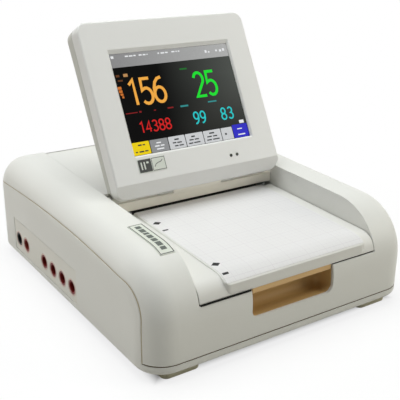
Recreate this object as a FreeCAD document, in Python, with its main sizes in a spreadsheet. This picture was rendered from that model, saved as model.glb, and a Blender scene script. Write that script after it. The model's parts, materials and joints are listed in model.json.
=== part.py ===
import FreeCAD, Part
import math
import os
import re
import Sketcher
from FreeCAD import Placement, Rotation, Vector

# Bench-top fetal monitor: a cream case with a tilting display, a chart-paper table
# between two shoulders and a row of transducer sockets on the left side.
# Front faces -Y, +Z is up, the origin lies on the ground under the middle of the case.

SIZES = {
    # case
    "case_width": 286,
    "case_depth": 335,
    "case_wall": 3,
    "foot_height": 8,
    "top_height": 105,
    "top_slope": 2,
    "front_roll": 54,
    "rear_roll": 34,
    "side_roll": 26,
    "base_edge": 5,
    "seam_drop": 18.7,
    "skirt_height": 8.5,
    "seam_setback": 17,
    "seam_crest": 197.5,
    "seam_sweep": 1750,
    "seam_corner": 28,
    "seam_gap": 1,
    "overrun": 12,
    "fit_gap": 0.3,
    # bay between the shoulders and the seat behind it
    "shoulder_width": 46.25,
    "bay_wall": 2.5,
    "bay_skirt": 5.6,
    "seat_depth": 7,
    "seat_margin": 15.5,
    "table_drop": 22.3,
    "apron_height": 14.35,
    "sill_gap": 1.4,
    "ledge_width": 6,
    "ledge_thickness": 3,
    "glide_thickness": 1.5,
    # finger recess
    "recess_width": 90,
    "recess_height": 25.5,
    "recess_depth": 21,
    "recess_corner": 7,
    "recess_wall": 2.4,
    # paper table and chart paper
    "table_side_gap": 0.8,
    "table_back_gap": 2,
    "table_wall": 3,
    "table_apron": 9,
    "table_skirt": 25,
    "nose_setback": 1.9,
    "nose_corner": 5,
    "brow_roll": 34,
    "brow_length": 19.3,
    "margin_roll": 15,
    "platform_rise": 1.2,
    "platform_edge": 0.8,
    "platform_margin": 1.5,
    "paper_left_margin": 27.75,
    "paper_right_margin": 13.75,
    "paper_thickness": 0.3,
    "pack_slack": 14.3,
    "pack_height": 15,
    "pack_gap": 2,
    "grip_width": 87,
    "grip_drop": 6,
    "grip_thickness": 4,
    "grip_setback": 1.2,
    "grip_edge": 1.5,
    # cross bar, hinge and slot
    "bar_depth": 22.6,
    "bar_wall": 2.5,
    "slot_height": 2.8,
    "hinge_inset": 0.1,
    "hinge_drop": 0.7,
    "swing_room": 9.3,
    "hinge_block_width": 56,
    "hinge_block_radius": 8,
    "hinge_block_foot": 12,
    "hinge_pin_radius": 3,
    "hinge_lug_width": 15,
    "hinge_lug_radius": 8,
    "pin_clearance": 0.04,
    # display, measured from the hinge axis
    "display_tilt": 62.26,
    "display_side_gap": 2.5,
    "display_head_gap": 0.5,
    "display_drop": 7,
    "display_front": 19,
    "display_back": 5.5,
    "display_parting": 5,
    "display_corner": 10,
    "display_inner_corner": 7.5,
    "bezel_edge": 2,
    "cover_edge": 4,
    "cover_taper": 1.5,
    "display_wall": 2.5,
    "chin_rise": 5,
    "chin_height": 10,
    "chin_angle": 30,
    "window_side": 26.75,
    "window_foot": 30.5,
    "window_drop": 32.3,
    "window_bevel": 1.6,
    "window_brow_depth": 2.2,
    "window_brow_angle": 30,
    "glass_thickness": 1.8,
    "glass_border": 4,
    "panel_border": 7,
    "panel_thickness": 8.4,
    "display_board_thickness": 1.6,
    "display_board_border": 14,
    "display_spacer_height": 3.4,
    "display_spacer_radius": 3,
    "lens_radius": 1.6,
    "lens_pitch": 7.4,
    "lens_inset": 27,
    "lens_height": 14.3,
    "lens_proud": 0.3,
    "label_width": 29.5,
    "label_height": 13,
    "label_inset": 14.8,
    "label_level": 20,
    "label_thickness": 0.4,
    "display_screw_inset": 12,
    "display_screw_radius": 1.5,
    "display_screw_head": 2.8,
    "display_boss_radius": 4,
    # feet and fasteners
    "foot_length": 36,
    "foot_width": 18,
    "foot_inset": 35,
    "foot_setback": 17.5,
    "foot_corner": 6,
    "foot_seat": 1,
    "post_inset": 23,
    "post_gap": 4.5,
    "post_radius": 5.5,
    "boss_height": 5,
    "screw_radius": 2,
    "screw_head_radius": 3.6,
    "screw_head_height": 2.6,
    "screw_length": 16,
    "screw_clearance": 0.1,
    "mount_pitch": 100,
    "mount_hole_radius": 2.1,
    "mount_hole_depth": 7,
    "mount_boss_radius": 5.5,
    # left side connectors
    "socket_panel_setback": 48.5,
    "socket_panel_length": 154,
    "socket_panel_foot": 16,
    "socket_panel_head": 51,
    "socket_panel_flange": 4,
    "socket_panel_thickness": 3,
    "socket_height": 30,
    "socket_radius": 7,
    "socket_bore": 5.25,
    "socket_bore_depth": 11,
    "socket_length": 24,
    "socket_flange": 2.5,
    "socket_first": 11,
    "socket_pitch": 21.6,
    "maternal_setback": 31.2,
    "pressure_setback": 11.5,
    "contact_radius": 0.7,
    "contact_circle": 2.8,
    "contact_depth": 4,
    "socket_board_thickness": 1.6,
    "socket_board_height": 26,
    # rear panel
    "rear_opening_width": 190,
    "rear_opening_foot": 22,
    "rear_opening_head": 70,
    "rear_recess": 15,
    "rear_frame_wall": 6,
    "rear_panel_thickness": 2,
    "rear_screw_radius": 1.5,
    "rear_screw_length": 9,
    "inlet_place": 70,
    "inlet_height": 42,
    "inlet_width": 28,
    "inlet_tall": 21,
    "inlet_flange": 3,
    "inlet_flange_width": 36,
    "inlet_flange_tall": 27,
    "inlet_rear": 12,
    "inlet_cavity_width": 23,
    "inlet_cavity_tall": 16,
    "inlet_cavity_depth": 12,
    "blade_width": 2,
    "blade_tall": 4,
    "blade_pitch": 7,
    "stud_place": 32,
    "stud_radius": 3,
    "stud_neck": 2.5,
    "stud_length": 11,
    "stud_nut": 5.5,
    "stud_nut_height": 3,
    "stud_collar": 2.5,
    "option_width": 70,
    "option_tall": 34,
    "option_place": -50,
    "option_thickness": 2,
    # recorder
    "roller_setback": 13.6,
    "roller_radius": 8,
    "roller_drop": 0.2,
    "roller_overhang": 1,
    "shaft_radius": 3,
    "chassis_sheet": 2.5,
    "chassis_flange": 2,
    "well_depth": 12,
    "plate_gap": 2,
    "plate_front_gap": 1,
    "plate_rear_gap": 6,
    "well_rear_gap": 3.6,
    "plate_top_reach": 9.5,
    "bush_radius": 5,
    "bush_length": 4.5,
    "bush_collar": 1,
    "gear_module": 0.8,
    "gear_width": 5,
    "gear_stand_off": 2,
    "gear_slack": 0.12,
    "axle_radius": 2.5,
    "motor_length": 22,
    "motor_shaft_radius": 2,
    "head_depth": 10,
    "head_front": 11.6,
    "head_strip": 4,
    "head_lift": 0.5,
    # inside the case
    "board_front_gap": 12,
    "board_rear_gap": 26.5,
    "board_pump_gap": 28,
    "board_supply_gap": 23,
    "board_thickness": 1.6,
    "board_rise": 8,
    "spacer_radius": 3.5,
    "spacer_inset": 7,
    "can_height": 9,
    "supply_inset": 31,
    "supply_width": 54,
    "supply_rise": 6,
    "supply_height": 30,
    "supply_sheet": 1.5,
    "supply_board": 14,
    "supply_foot": 6,
    "pump_inset": 45,
    "pump_setback": 75,
    "pump_length": 62,
    "pump_radius": 13,
    "pump_cradle": 3,
    "pump_nozzle_radius": 2.2,
    "pump_nozzle_length": 9,
    "speaker_setback": 97.5,
    "speaker_depth": 17,
    "speaker_rim": 3,
    "speaker_rim_depth": 4,
    "speaker_magnet": 14,
    "cone_thickness": 0.8,
    "grille_slot": 2.4,
    "grille_pitch": 6,
    # plate on the left shoulder
    "badge_inset": 30,
    "badge_width": 14,
    "badge_setback": 33.5,
    "badge_length": 55,
    "badge_lift": 0.5,
}

GRILLE_SLOTS = 7
FETAL_SOCKETS = 4
CONTACTS = 5
PLATEN_TEETH = 24
IDLER_TEETH = 24
PINION_TEETH = 16
PRESSURE_ANGLE = math.radians(20)
FLANK_POINTS = 5
ADDENDUM_SHARE = 0.95
DEDENDUM_SHARE = 1.25
CAN_SHARES = (0.3, 0.7)
BAR_SHARE = 0.468358
MOTOR_SHARE = 0.53
SPEAKER_SHARE = 0.8125
GRILLE_SHARE = 0.59375

doc = FreeCAD.newDocument("FetalMonitor")
sheet = doc.addObject("Spreadsheet::Sheet", "Sizes")
for row, (alias, value) in enumerate(SIZES.items(), 1):
    sheet.set(f"A{row}", alias)
    sheet.set(f"B{row}", str(value))
    sheet.setAlias(f"B{row}", alias)
doc.recompute()

# Places that several pieces share, as formulas in the sheet's sizes
HALF = "(case_width / 2)"
FRONT = "(-case_depth / 2)"
REAR = "(case_depth / 2)"
FLOOR = "(foot_height + case_wall)"
SEAM = "(top_height - seam_drop)"
SKIRT = "(foot_height + skirt_height)"
SEAM_FRONT = f"({FRONT} + seam_setback)"
BAY = f"({HALF} - shoulder_width)"
TABLE = "(top_height - table_drop)"
TABLE_FOOT = f"({TABLE} - case_depth / 2 * tan(top_slope) - apron_height)"
SILL = f"({TABLE_FOOT} - sill_gap)"
WALL_FOOT = f"({SILL} - bay_skirt)"
BAR_FRONT = f"({FRONT} + {BAR_SHARE} * case_depth)"
BAR_BACK = f"({BAR_FRONT} + bar_depth)"
SEAT_BACK = f"({REAR} - seat_margin)"
TABLE_BACK = f"({BAR_FRONT} - table_back_gap)"
HINGE_Y = f"({BAR_FRONT} + hinge_inset)"
HINGE_Z = "(top_height - hinge_drop)"
BAR_TOP = f"({HINGE_Z} - swing_room)"
BAR_FOOT = f"({TABLE} + slot_height)"
PAPER_LEFT = f"(-{BAY} + paper_left_margin)"
PAPER_RIGHT = f"({BAY} - paper_right_margin)"
ROLLER_Y = f"({BAR_FRONT} + roller_setback)"
ROLLER_Z = f"({TABLE} - roller_drop - roller_radius)"
IDLER_Z = f"({ROLLER_Z} - gear_module * {(PLATEN_TEETH + IDLER_TEETH) / 2})"
MOTOR_Z = f"({IDLER_Z} - gear_module * {(IDLER_TEETH + PINION_TEETH) / 2})"
MOTOR_RADIUS = f"({MOTOR_SHARE} * ({MOTOR_Z} - {FLOOR}))"
PLATE_LEFT = f"({PAPER_LEFT} - roller_overhang - plate_gap)"
PLATE_RIGHT = f"({PAPER_RIGHT} + roller_overhang + plate_gap)"
GEAR_RIGHT = f"({PLATE_LEFT} - chassis_sheet - gear_stand_off)"
GEAR_LEFT = f"({GEAR_RIGHT} - gear_width)"
WELL_FRONT = f"({FRONT} + recess_depth + 4 * recess_wall)"
WELL_BACK = f"({ROLLER_Y} - {MOTOR_RADIUS} - well_rear_gap)"
REAR_PANEL = f"({REAR} - rear_recess)"
PLATE_BACK = f"({ROLLER_Y} + {MOTOR_RADIUS} + plate_rear_gap)"
FOOT_X = f"({HALF} - foot_inset)"
FOOT_Y = f"({REAR} - foot_setback)"
POST_X = f"({HALF} - post_inset)"
POST_Y = f"({FOOT_Y} - foot_width / 2 - post_radius - post_gap)"
SOCKETS_BACK = f"({REAR} - socket_panel_setback)"
SOCKETS_FRONT = f"({SOCKETS_BACK} - socket_panel_length)"
SPEAKER_Y = f"({FRONT} + speaker_setback)"
SPEAKER_Z = f"(({FLOOR} + top_height - side_roll) / 2)"
SPEAKER_RADIUS = f"({SPEAKER_SHARE} * ({SPEAKER_Z} - {FLOOR}))"
GRILLE_HALF = f"({GRILLE_SHARE} * ({SPEAKER_Z} - {FLOOR}))"

WORD = re.compile(r"[a-z][a-z_]*")
NODES = {}


X_AXIS, Y_AXIS, Z_AXIS = Vector(1, 0, 0), Vector(0, 1, 0), Vector(0, 0, 1)


def formula(text):
    """The text with each size's name turned into its cell of the sheet."""
    return WORD.sub(lambda m: f"Sizes.{m[0]}" if m[0] in SIZES else m[0], text)


def bind(thing, prop, text):
    thing.setExpression(prop, formula(text))


def size(name):
    return float(sheet.get(name))


def node(name, thing):
    """Names a finished sub-part: its label is also its file's name."""
    thing.Label = name
    NODES[name] = thing
    return thing


def both(text):
    """A span that is symmetric about zero."""
    return (f"-({text})", f"({text})")


def box(name, x, y, z):
    thing = doc.addObject("Part::Box", name)
    for prop, axis, (low, high) in zip(("Length", "Width", "Height"), "xyz", (x, y, z)):
        bind(thing, prop, f"({high}) - ({low})")
        bind(thing, f"Placement.Base.{axis}", low)
    return thing


def sloped_box(name, x, y, z, level):
    """A box lying in a plane parallel to the sloping top, at that height where y is zero."""
    thing = doc.addObject("Part::Box", name)
    for prop, (low, high) in zip(("Length", "Width", "Height"), (x, y, z)):
        bind(thing, prop, f"({high}) - ({low})")
    thing.Placement = Placement(Vector(), Rotation(Vector(1, 0, 0), 1))
    bind(thing, "Placement.Rotation.Angle", "top_slope")
    bind(thing, "Placement.Base.x", x[0])
    bind(thing, "Placement.Base.y", f"({y[0]}) * cos(top_slope) - ({z[0]}) * sin(top_slope)")
    bind(thing, "Placement.Base.z", f"{level} + ({y[0]}) * sin(top_slope) + ({z[0]}) * cos(top_slope)")
    return thing


TURNS = {"x": Rotation(Vector(0, 1, 0), 90), "y": Rotation(Vector(1, 0, 0), -90), "z": Rotation()}


def cylinder(name, axis, start, length, radius):
    """A cylinder from its start point along an axis."""
    thing = doc.addObject("Part::Cylinder", name)
    thing.Placement = Placement(Vector(), TURNS[axis])
    bind(thing, "Radius", radius)
    bind(thing, "Height", length)
    for letter, text in zip("xyz", start):
        bind(thing, f"Placement.Base.{letter}", text)
    return thing


def fuse(name, *things):
    thing = doc.addObject("Part::MultiFuse", name)
    thing.Shapes = list(things)
    thing.Refine = True
    return thing


def common(name, *things):
    thing = doc.addObject("Part::MultiCommon", name)
    thing.Shapes = list(things)
    return thing


def cut(name, base, *tools):
    thing = doc.addObject("Part::Cut", name)
    thing.Base = base
    thing.Tool = tools[0] if len(tools) == 1 else fuse(f"{name}_tools", *tools)
    thing.Refine = True
    return thing


def group(name, things):
    """Separate like solids that share one node."""
    thing = doc.addObject("Part::Compound", name)
    thing.Links = list(things)
    return thing


def rounded(name, base, radius, chosen):
    """Rounds the chosen edges of a solid to a radius that is read from the sheet."""
    doc.recompute()
    edges = [index for index, edge in enumerate(base.Shape.Edges, 1) if chosen(edge)]
    thing = doc.addObject("Part::Fillet", name)
    thing.Base = base
    thing.Edges = [(index, size(radius), size(radius)) for index in edges]
    return thing


def along(edge, direction):
    """True for a straight edge that runs along a direction."""
    if not isinstance(edge.Curve, Part.Line):
        return False
    return abs(edge.Curve.Direction.dot(direction)) > math.cos(math.radians(5))


def tilt(thing):
    """Places a display piece, modelled flat about the hinge axis, at its resting tilt."""
    thing.Placement = Placement(Vector(), Rotation(X_AXIS, 1))
    bind(thing, "Placement.Rotation.Angle", "display_tilt")
    bind(thing, "Placement.Base.y", HINGE_Y)
    bind(thing, "Placement.Base.z", HINGE_Z)
    return thing


def sketch_on(body, name, role, offset):
    plane = next(item for item in body.Origin.OriginFeatures if item.Role == role)
    sketch = body.newObject("Sketcher::SketchObject", name)
    sketch.AttachmentSupport = (plane, "")
    sketch.MapMode = "FlatFace"
    bind(sketch, "AttachmentOffset.Base.z", offset)
    return sketch


def place_point(sketch, geometry, point, direction, text):
    """Ties one coordinate of a sketch point to a formula."""
    index = sketch.addConstraint(Sketcher.Constraint(direction, -1, 1, geometry, point, 1.0))
    bind(sketch, f"Constraints[{index}]", text)


def draw_rectangle(sketch, x, y):
    corners = [Vector(-1, -1), Vector(1, -1), Vector(1, 1), Vector(-1, 1)]
    for number in range(4):
        sketch.addGeometry(Part.LineSegment(corners[number], corners[(number + 1) % 4]))
    for number in range(4):
        sketch.addConstraint(Sketcher.Constraint("Coincident", number, 2, (number + 1) % 4, 1))
    for number, kind in enumerate(("Horizontal", "Vertical", "Horizontal", "Vertical")):
        sketch.addConstraint(Sketcher.Constraint(kind, number))
    place_point(sketch, 0, 1, "DistanceX", x[0])
    place_point(sketch, 2, 1, "DistanceX", x[1])
    place_point(sketch, 0, 1, "DistanceY", y[0])
    place_point(sketch, 2, 1, "DistanceY", y[1])


def pad(body, name, sketch, length, side="One side"):
    feature = body.newObject("PartDesign::Pad", name)
    feature.Profile = sketch
    feature.SideType = side
    bind(feature, "Length", length)
    doc.recompute()
    return feature


def body_fillet(body, name, base, radius, chosen):
    """Rounds the chosen edges of a body's last feature."""
    edges = [f"Edge{index}" for index, edge in enumerate(base.Shape.Edges, 1) if chosen(edge)]
    feature = body.newObject("PartDesign::Fillet", name)
    feature.Base = (base, edges)
    bind(feature, "Radius", radius)
    doc.recompute()
    return feature


def slab(name, x, y, z, corner, edge, top=True):
    """A padded rectangle with rounded corners, and its top or bottom rim rounded."""
    body = doc.addObject("PartDesign::Body", name)
    sketch = sketch_on(body, f"{name}_outline", "XY_Plane", z[0])
    draw_rectangle(sketch, x, y)
    block = pad(body, f"{name}_pad", sketch, f"({z[1]}) - ({z[0]})")
    corners = body_fillet(body, f"{name}_corners", block, corner, lambda e: along(e, Z_AXIS))
    bounds = corners.Shape.BoundBox
    level = bounds.ZMax if top else bounds.ZMin
    flat = bounds.ZLength * 0.01
    body_fillet(body, f"{name}_rim", corners, edge, lambda e: abs(e.BoundBox.ZMax - level) < flat
                and abs(e.BoundBox.ZMin - level) < flat)
    return body


# The case's outer form: a side view padded across the width, with its two side rims rolled.
# The same form, drawn smaller, makes the hollow inside and the fitted skins.
def case_form(name, inset, rounded_base=False):
    body = doc.addObject("PartDesign::Body", name)
    sketch = sketch_on(body, f"{name}_side_view", "YZ_Plane", "0")
    slope = math.radians(size("top_slope"))
    front, rear, base = -size("case_depth") / 2, size("case_depth") / 2, size("foot_height")
    top = size("top_height")

    def roll(centre_y, radius):
        centre_z = top + centre_y * math.tan(slope) - radius / math.cos(slope)
        centre = Vector(centre_y, centre_z)
        return centre, centre + Vector(-math.sin(slope), math.cos(slope)) * radius

    front_centre, front_top = roll(front + size("front_roll"), size("front_roll"))
    rear_centre, rear_top = roll(rear - size("rear_roll"), size("rear_roll"))
    front_side = Vector(front, front_centre.y)
    rear_side = Vector(rear, rear_centre.y)
    upright = Vector(0, 0, 1)
    quarter = math.pi / 2 + slope
    front_circle = Part.Circle(front_centre, upright, size("front_roll"))
    rear_circle = Part.Circle(rear_centre, upright, size("rear_roll"))
    sketch.addGeometry(Part.LineSegment(Vector(front, base), front_side))
    sketch.addGeometry(Part.ArcOfCircle(front_circle, quarter, math.pi))
    sketch.addGeometry(Part.LineSegment(front_top, rear_top))
    sketch.addGeometry(Part.ArcOfCircle(rear_circle, 0, quarter))
    sketch.addGeometry(Part.LineSegment(rear_side, Vector(rear, base)))
    sketch.addGeometry(Part.LineSegment(Vector(rear, base), Vector(front, base)))
    level = sketch.addGeometry(Part.Point(Vector(0, top)))
    sketch.toggleConstruction(level)
    for first, first_end, second, second_end in ((0, 2, 1, 2), (1, 1, 2, 1), (2, 2, 3, 2), (3, 1, 4, 1)):
        sketch.addConstraint(Sketcher.Constraint("Tangent", first, first_end, second, second_end))
    sketch.addConstraint(Sketcher.Constraint("Coincident", 4, 2, 5, 1))
    sketch.addConstraint(Sketcher.Constraint("Coincident", 5, 2, 0, 1))
    sketch.addConstraint(Sketcher.Constraint("Vertical", 0))
    sketch.addConstraint(Sketcher.Constraint("Vertical", 4))
    sketch.addConstraint(Sketcher.Constraint("Horizontal", 5))
    sketch.addConstraint(Sketcher.Constraint("PointOnObject", level, 1, 2))
    sketch.addConstraint(Sketcher.Constraint("PointOnObject", level, 1, -2))
    place_point(sketch, 0, 1, "DistanceX", f"{FRONT} + ({inset})")
    place_point(sketch, 4, 2, "DistanceX", f"{REAR} - ({inset})")
    place_point(sketch, 5, 1, "DistanceY", f"foot_height + ({inset})")
    place_point(sketch, level, 1, "DistanceY", f"top_height - ({inset}) / cos(top_slope)")
    for geometry, radius in ((1, "front_roll"), (3, "rear_roll")):
        index = sketch.addConstraint(Sketcher.Constraint("Radius", geometry, size(radius)))
        bind(sketch, f"Constraints[{index}]", f"{radius} - ({inset})")
    index = sketch.addConstraint(Sketcher.Constraint("Angle", 2, slope))
    bind(sketch, f"Constraints[{index}]", "top_slope * 1 deg")
    block = pad(body, f"{name}_pad", sketch, f"case_width - 2 * ({inset})", "Symmetric")
    bounds = block.Shape.BoundBox
    flat = bounds.XLength * 0.001

    def on_side_rim(edge):
        at_side = abs(abs(edge.CenterOfMass.x) - bounds.XMax) < flat and edge.BoundBox.XLength < flat
        return at_side and edge.BoundBox.ZMax > bounds.ZMin + flat

    rolled = body_fillet(body, f"{name}_side_rolls", block, f"side_roll - ({inset})", on_side_rim)
    if rounded_base:
        body_fillet(body, f"{name}_base", rolled, "base_edge", lambda e: e.BoundBox.ZMax < bounds.ZMin + flat)
    return body


envelope = case_form("envelope", "0", rounded_base=True)
hollow = case_form("hollow", "case_wall")
liner_space = case_form("liner_space", "case_wall + fit_gap")
shell = cut("shell", envelope, hollow)


def lower_region(name, gap):
    """All that lies below the seam, a long shallow arc that turns down near the front."""
    sides = box(f"{name}_sides", both(f"{HALF} + overrun"), (f"{SEAM_FRONT} - ({gap})", f"{REAR} + overrun"),
                ("-overrun", f"{SEAM} + overrun"))
    sweep = cylinder(f"{name}_sweep", "x", (f"-{HALF} - 2 * overrun", f"{FRONT} + seam_crest",
                                            f"{SEAM} - seam_sweep"),
                     "case_width + 4 * overrun", f"seam_sweep + ({gap})")
    swept = common(f"{name}_swept", sides, sweep)
    doc.recompute()
    front = swept.Shape.BoundBox.YMin
    flat = size("seam_gap") / 10
    arched = rounded(f"{name}_arch", swept, "seam_corner", lambda e: along(e, X_AXIS)
                     and e.CenterOfMass.z > 0 and abs(e.CenterOfMass.y - front) < flat)
    skirt = box(f"{name}_skirt", both(f"{HALF} + overrun"), (f"{FRONT} - overrun", f"{SEAM_FRONT} + overrun"),
                ("-overrun", f"{SKIRT} + ({gap})"))
    return fuse(name, arched, skirt)


# Corners where the case screws and the feet stand
SIGNS = (-1, 1)
QUARTERS = [(x, y) for x in SIGNS for y in SIGNS]


def post_place(x, y):
    return f"{x} * {POST_X}", f"{y} * {POST_Y}"


# Lower case: floor, side walls and rear wall in one moulding, with bosses, rear recess and grille
lower_region_tool = lower_region("lower_region", "0")
lower_skin = common("lower_skin", shell, lower_region_tool)
lower_adds = []
lower_cuts = []
for number, (x, y) in enumerate(QUARTERS):
    px, py = post_place(x, y)
    lower_adds.append(cylinder(f"floor_boss{number}", "z", (px, py, "foot_height + case_wall / 2"),
                               "case_wall / 2 + boss_height", "post_radius"))
    lower_cuts.append(cylinder(f"floor_hole{number}", "z", (px, py, "foot_height - overrun"),
                               "2 * overrun + boss_height", "screw_radius + screw_clearance"))
    lower_cuts.append(cylinder(f"floor_sink{number}", "z", (px, py, "foot_height - overrun"),
                               "overrun + screw_head_height + fit_gap", "screw_head_radius + fit_gap"))
    mx, my = f"{x} * mount_pitch / 2", f"{y} * mount_pitch / 2"
    lower_adds.append(cylinder(f"mount_boss{number}", "z", (mx, my, "foot_height + case_wall / 2"),
                               "mount_hole_depth", "mount_boss_radius"))
    lower_cuts.append(cylinder(f"mount_hole{number}", "z", (mx, my, "foot_height - overrun"),
                               "overrun + mount_hole_depth", "mount_hole_radius"))
    fx, fy = f"{x} * {FOOT_X}", f"{y} * {FOOT_Y}"
    lower_cuts.append(box(f"foot_pocket{number}",
                          (f"{fx} - foot_length / 2 - fit_gap", f"{fx} + foot_length / 2 + fit_gap"),
                          (f"{fy} - foot_width / 2 - fit_gap", f"{fy} + foot_width / 2 + fit_gap"),
                          ("foot_height - overrun", "foot_height + foot_seat")))
lower_adds.append(box("rear_frame", both("rear_opening_width / 2 + rear_frame_wall"),
                      (REAR_PANEL, f"{REAR} - case_wall / 2"),
                      ("rear_opening_foot - rear_frame_wall", "rear_opening_head + rear_frame_wall")))
lower_cuts.append(box("rear_opening", both("rear_opening_width / 2"),
                      (f"{REAR_PANEL} - overrun", f"{REAR} + overrun"),
                      ("rear_opening_foot", "rear_opening_head")))
lower_cuts.append(box("socket_opening", (f"-{HALF} - overrun", f"-{HALF} + overrun"),
                      (SOCKETS_FRONT, SOCKETS_BACK), ("socket_panel_foot", "socket_panel_head")))
for number in range(GRILLE_SLOTS):
    middle = f"{SPEAKER_Y} + {number - (GRILLE_SLOTS - 1) / 2} * grille_pitch"
    lower_cuts.append(box(f"grille_slot{number}", (f"{HALF} - overrun", f"{HALF} + overrun"),
                          (f"{middle} - grille_slot / 2", f"{middle} + grille_slot / 2"),
                          (f"{SPEAKER_Z} - {GRILLE_HALF}", f"{SPEAKER_Z} + {GRILLE_HALF}")))


def rear_screw_place(x, z):
    middle = "(rear_opening_foot + rear_opening_head) / 2"
    reach = "((rear_opening_head - rear_opening_foot) / 2 + rear_frame_wall / 2)"
    return f"{x} * (rear_opening_width / 2 + rear_frame_wall / 2)", f"{middle} + {z} * {reach}"


for number, (x, z) in enumerate(QUARTERS):
    px, pz = rear_screw_place(x, z)
    lower_cuts.append(cylinder(f"rear_screw_hole{number}", "y", (px, f"{REAR_PANEL} - overrun", pz),
                               "overrun + rear_screw_length - rear_panel_thickness + fit_gap",
                               "rear_screw_radius + screw_clearance"))
lower_solid = fuse("lower_solid", lower_skin, *lower_adds)
node("lower_case", cut("lower_case", lower_solid, *lower_cuts))

# Upper case: the saddle over it, with the front wall, the bay walls, the display seat and four posts
upper_skin = cut("upper_skin", shell, lower_region("lower_region_gap", "seam_gap"))
seat_block = sloped_box("seat_block", both(f"{BAY} + bay_wall"), (BAR_BACK, f"{SEAT_BACK} + bay_wall"),
                        ("-seat_depth - bay_wall", "overrun"), "top_height")
upper_inner = [seat_block]
for side, span in (("left", (f"-{BAY} - bay_wall", f"-{BAY}")), ("right", (BAY, f"{BAY} + bay_wall"))):
    upper_inner.append(box(f"bay_wall_{side}", span, (f"{FRONT} - overrun", f"{BAR_BACK} + bay_wall"),
                           (WALL_FOOT, "top_height + overrun")))
upper_cuts = []
for number, (x, y) in enumerate(QUARTERS):
    px, py = post_place(x, y)
    foot = f"({FLOOR} + boss_height)"
    upper_inner.append(cylinder(f"post{number}", "z", (px, py, foot), f"top_height - {foot} + overrun",
                                "post_radius"))
    upper_cuts.append(cylinder(f"post_hole{number}", "z", (px, py, f"{foot} - overrun"),
                               "overrun + screw_length", "screw_radius + screw_clearance"))
upper_inside = common("upper_inside", envelope, fuse("upper_inner", *upper_inner))
upper_cuts.append(sloped_box("seat_void", both(BAY), (f"{BAR_BACK} - overrun", SEAT_BACK),
                             ("-seat_depth", "2 * overrun"), "top_height"))
upper_cuts.append(box("bay_void", both(BAY), (f"{FRONT} - overrun", BAR_BACK),
                      (SILL, "top_height + 2 * overrun")))
recess_block = box("recess_block", both("recess_width / 2"),
                   (f"{FRONT} - overrun", f"{FRONT} + recess_depth"),
                   (f"{SILL} - recess_height", f"{SILL} + overrun"))
doc.recompute()
recess_bounds = recess_block.Shape.BoundBox


def recess_edge(edge):
    """The recess's two lower corners, its rear corners and the edge along the back of its floor."""
    flat = size("fit_gap")
    middle = edge.CenterOfMass
    low = abs(middle.z - recess_bounds.ZMin) < flat
    back = abs(middle.y - recess_bounds.YMax) < flat
    return (low and (along(edge, Y_AXIS) or back)) or (back and along(edge, Z_AXIS))


recess_tool = rounded("recess_tool", recess_block, "recess_corner", recess_edge)
upper_cuts.append(recess_tool)
ledges = []
GLIDE_TOP = f"({TABLE_FOOT} - fit_gap)"
LEDGE_TOP = f"({GLIDE_TOP} - glide_thickness)"
for side, span in (("left", (f"-{BAY} - bay_wall / 2", f"-{BAY} + ledge_width")),
                   ("right", (f"{BAY} - ledge_width", f"{BAY} + bay_wall / 2"))):
    ledges.append(box(f"ledge_{side}", span, (f"{FRONT} + table_apron", TABLE_BACK),
                      (f"{LEDGE_TOP} - ledge_thickness", LEDGE_TOP)))
upper_open = cut("upper_open", fuse("upper_solid", upper_skin, upper_inside), *upper_cuts)
node("upper_case", fuse("upper_case", upper_open, common("ledges_inside", hollow, fuse("ledges", *ledges))))

# Glide strips stuck on the bay's two ledges
glides = []
for side, span in (("left", (f"-{BAY} + fit_gap", f"-{BAY} + ledge_width")),
                   ("right", (f"{BAY} - ledge_width", f"{BAY} - fit_gap"))):
    glides.append(box(f"glide_{side}", span, (f"{FRONT} + table_apron + 2 * case_wall", TABLE_BACK),
                      (LEDGE_TOP, GLIDE_TOP)))
node("glide_strips", group("glide_strips", glides))

# Finger recess: a cup behind the opening in the front wall
cup_block = box("cup_block", both("recess_width / 2 + recess_wall"),
                (FRONT, f"{FRONT} + recess_depth + recess_wall"),
                (f"{SILL} - recess_height - recess_wall", f"{SILL} - fit_gap"))
node("finger_recess", cut("finger_recess", common("cup_inside", cup_block, liner_space), recess_tool))

# Bare plate on the left shoulder, following the rolled surface
badge_form = case_form("badge_form", "-badge_lift")
BADGE_LEFT = f"(-{HALF} + badge_inset)"
BADGE_FRONT = f"({FRONT} + badge_setback)"
badge_block = box("badge_block", (BADGE_LEFT, f"{BADGE_LEFT} + badge_width"),
                  (BADGE_FRONT, f"{BADGE_FRONT} + badge_length"), (SEAM, "top_height + overrun"))
node("badge_plate", cut("badge_plate", common("badge_skin", badge_block, badge_form), envelope))

# Rubber feet in shallow pockets of the floor
feet = []
for number, (x, y) in enumerate(QUARTERS):
    fx, fy = f"{x} * {FOOT_X}", f"{y} * {FOOT_Y}"
    feet.append(slab(f"foot{number}", (f"{fx} - foot_length / 2", f"{fx} + foot_length / 2"),
                     (f"{fy} - foot_width / 2", f"{fy} + foot_width / 2"), ("0", "foot_height + foot_seat"),
                     "foot_corner", "foot_seat", top=False))
node("rubber_feet", group("rubber_feet", feet))

# Case screws, driven from below into the posts
screws = []
for number, (x, y) in enumerate(QUARTERS):
    px, py = post_place(x, y)
    head = cylinder(f"case_screw_head{number}", "z", (px, py, "foot_height + fit_gap"), "screw_head_height",
                    "screw_head_radius")
    shank = cylinder(f"case_screw_shank{number}", "z", (px, py, "foot_height + fit_gap"), "screw_length",
                     "screw_radius")
    screws.append(fuse(f"case_screw{number}", head, shank))
node("case_screws", group("case_screws", screws))

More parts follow.
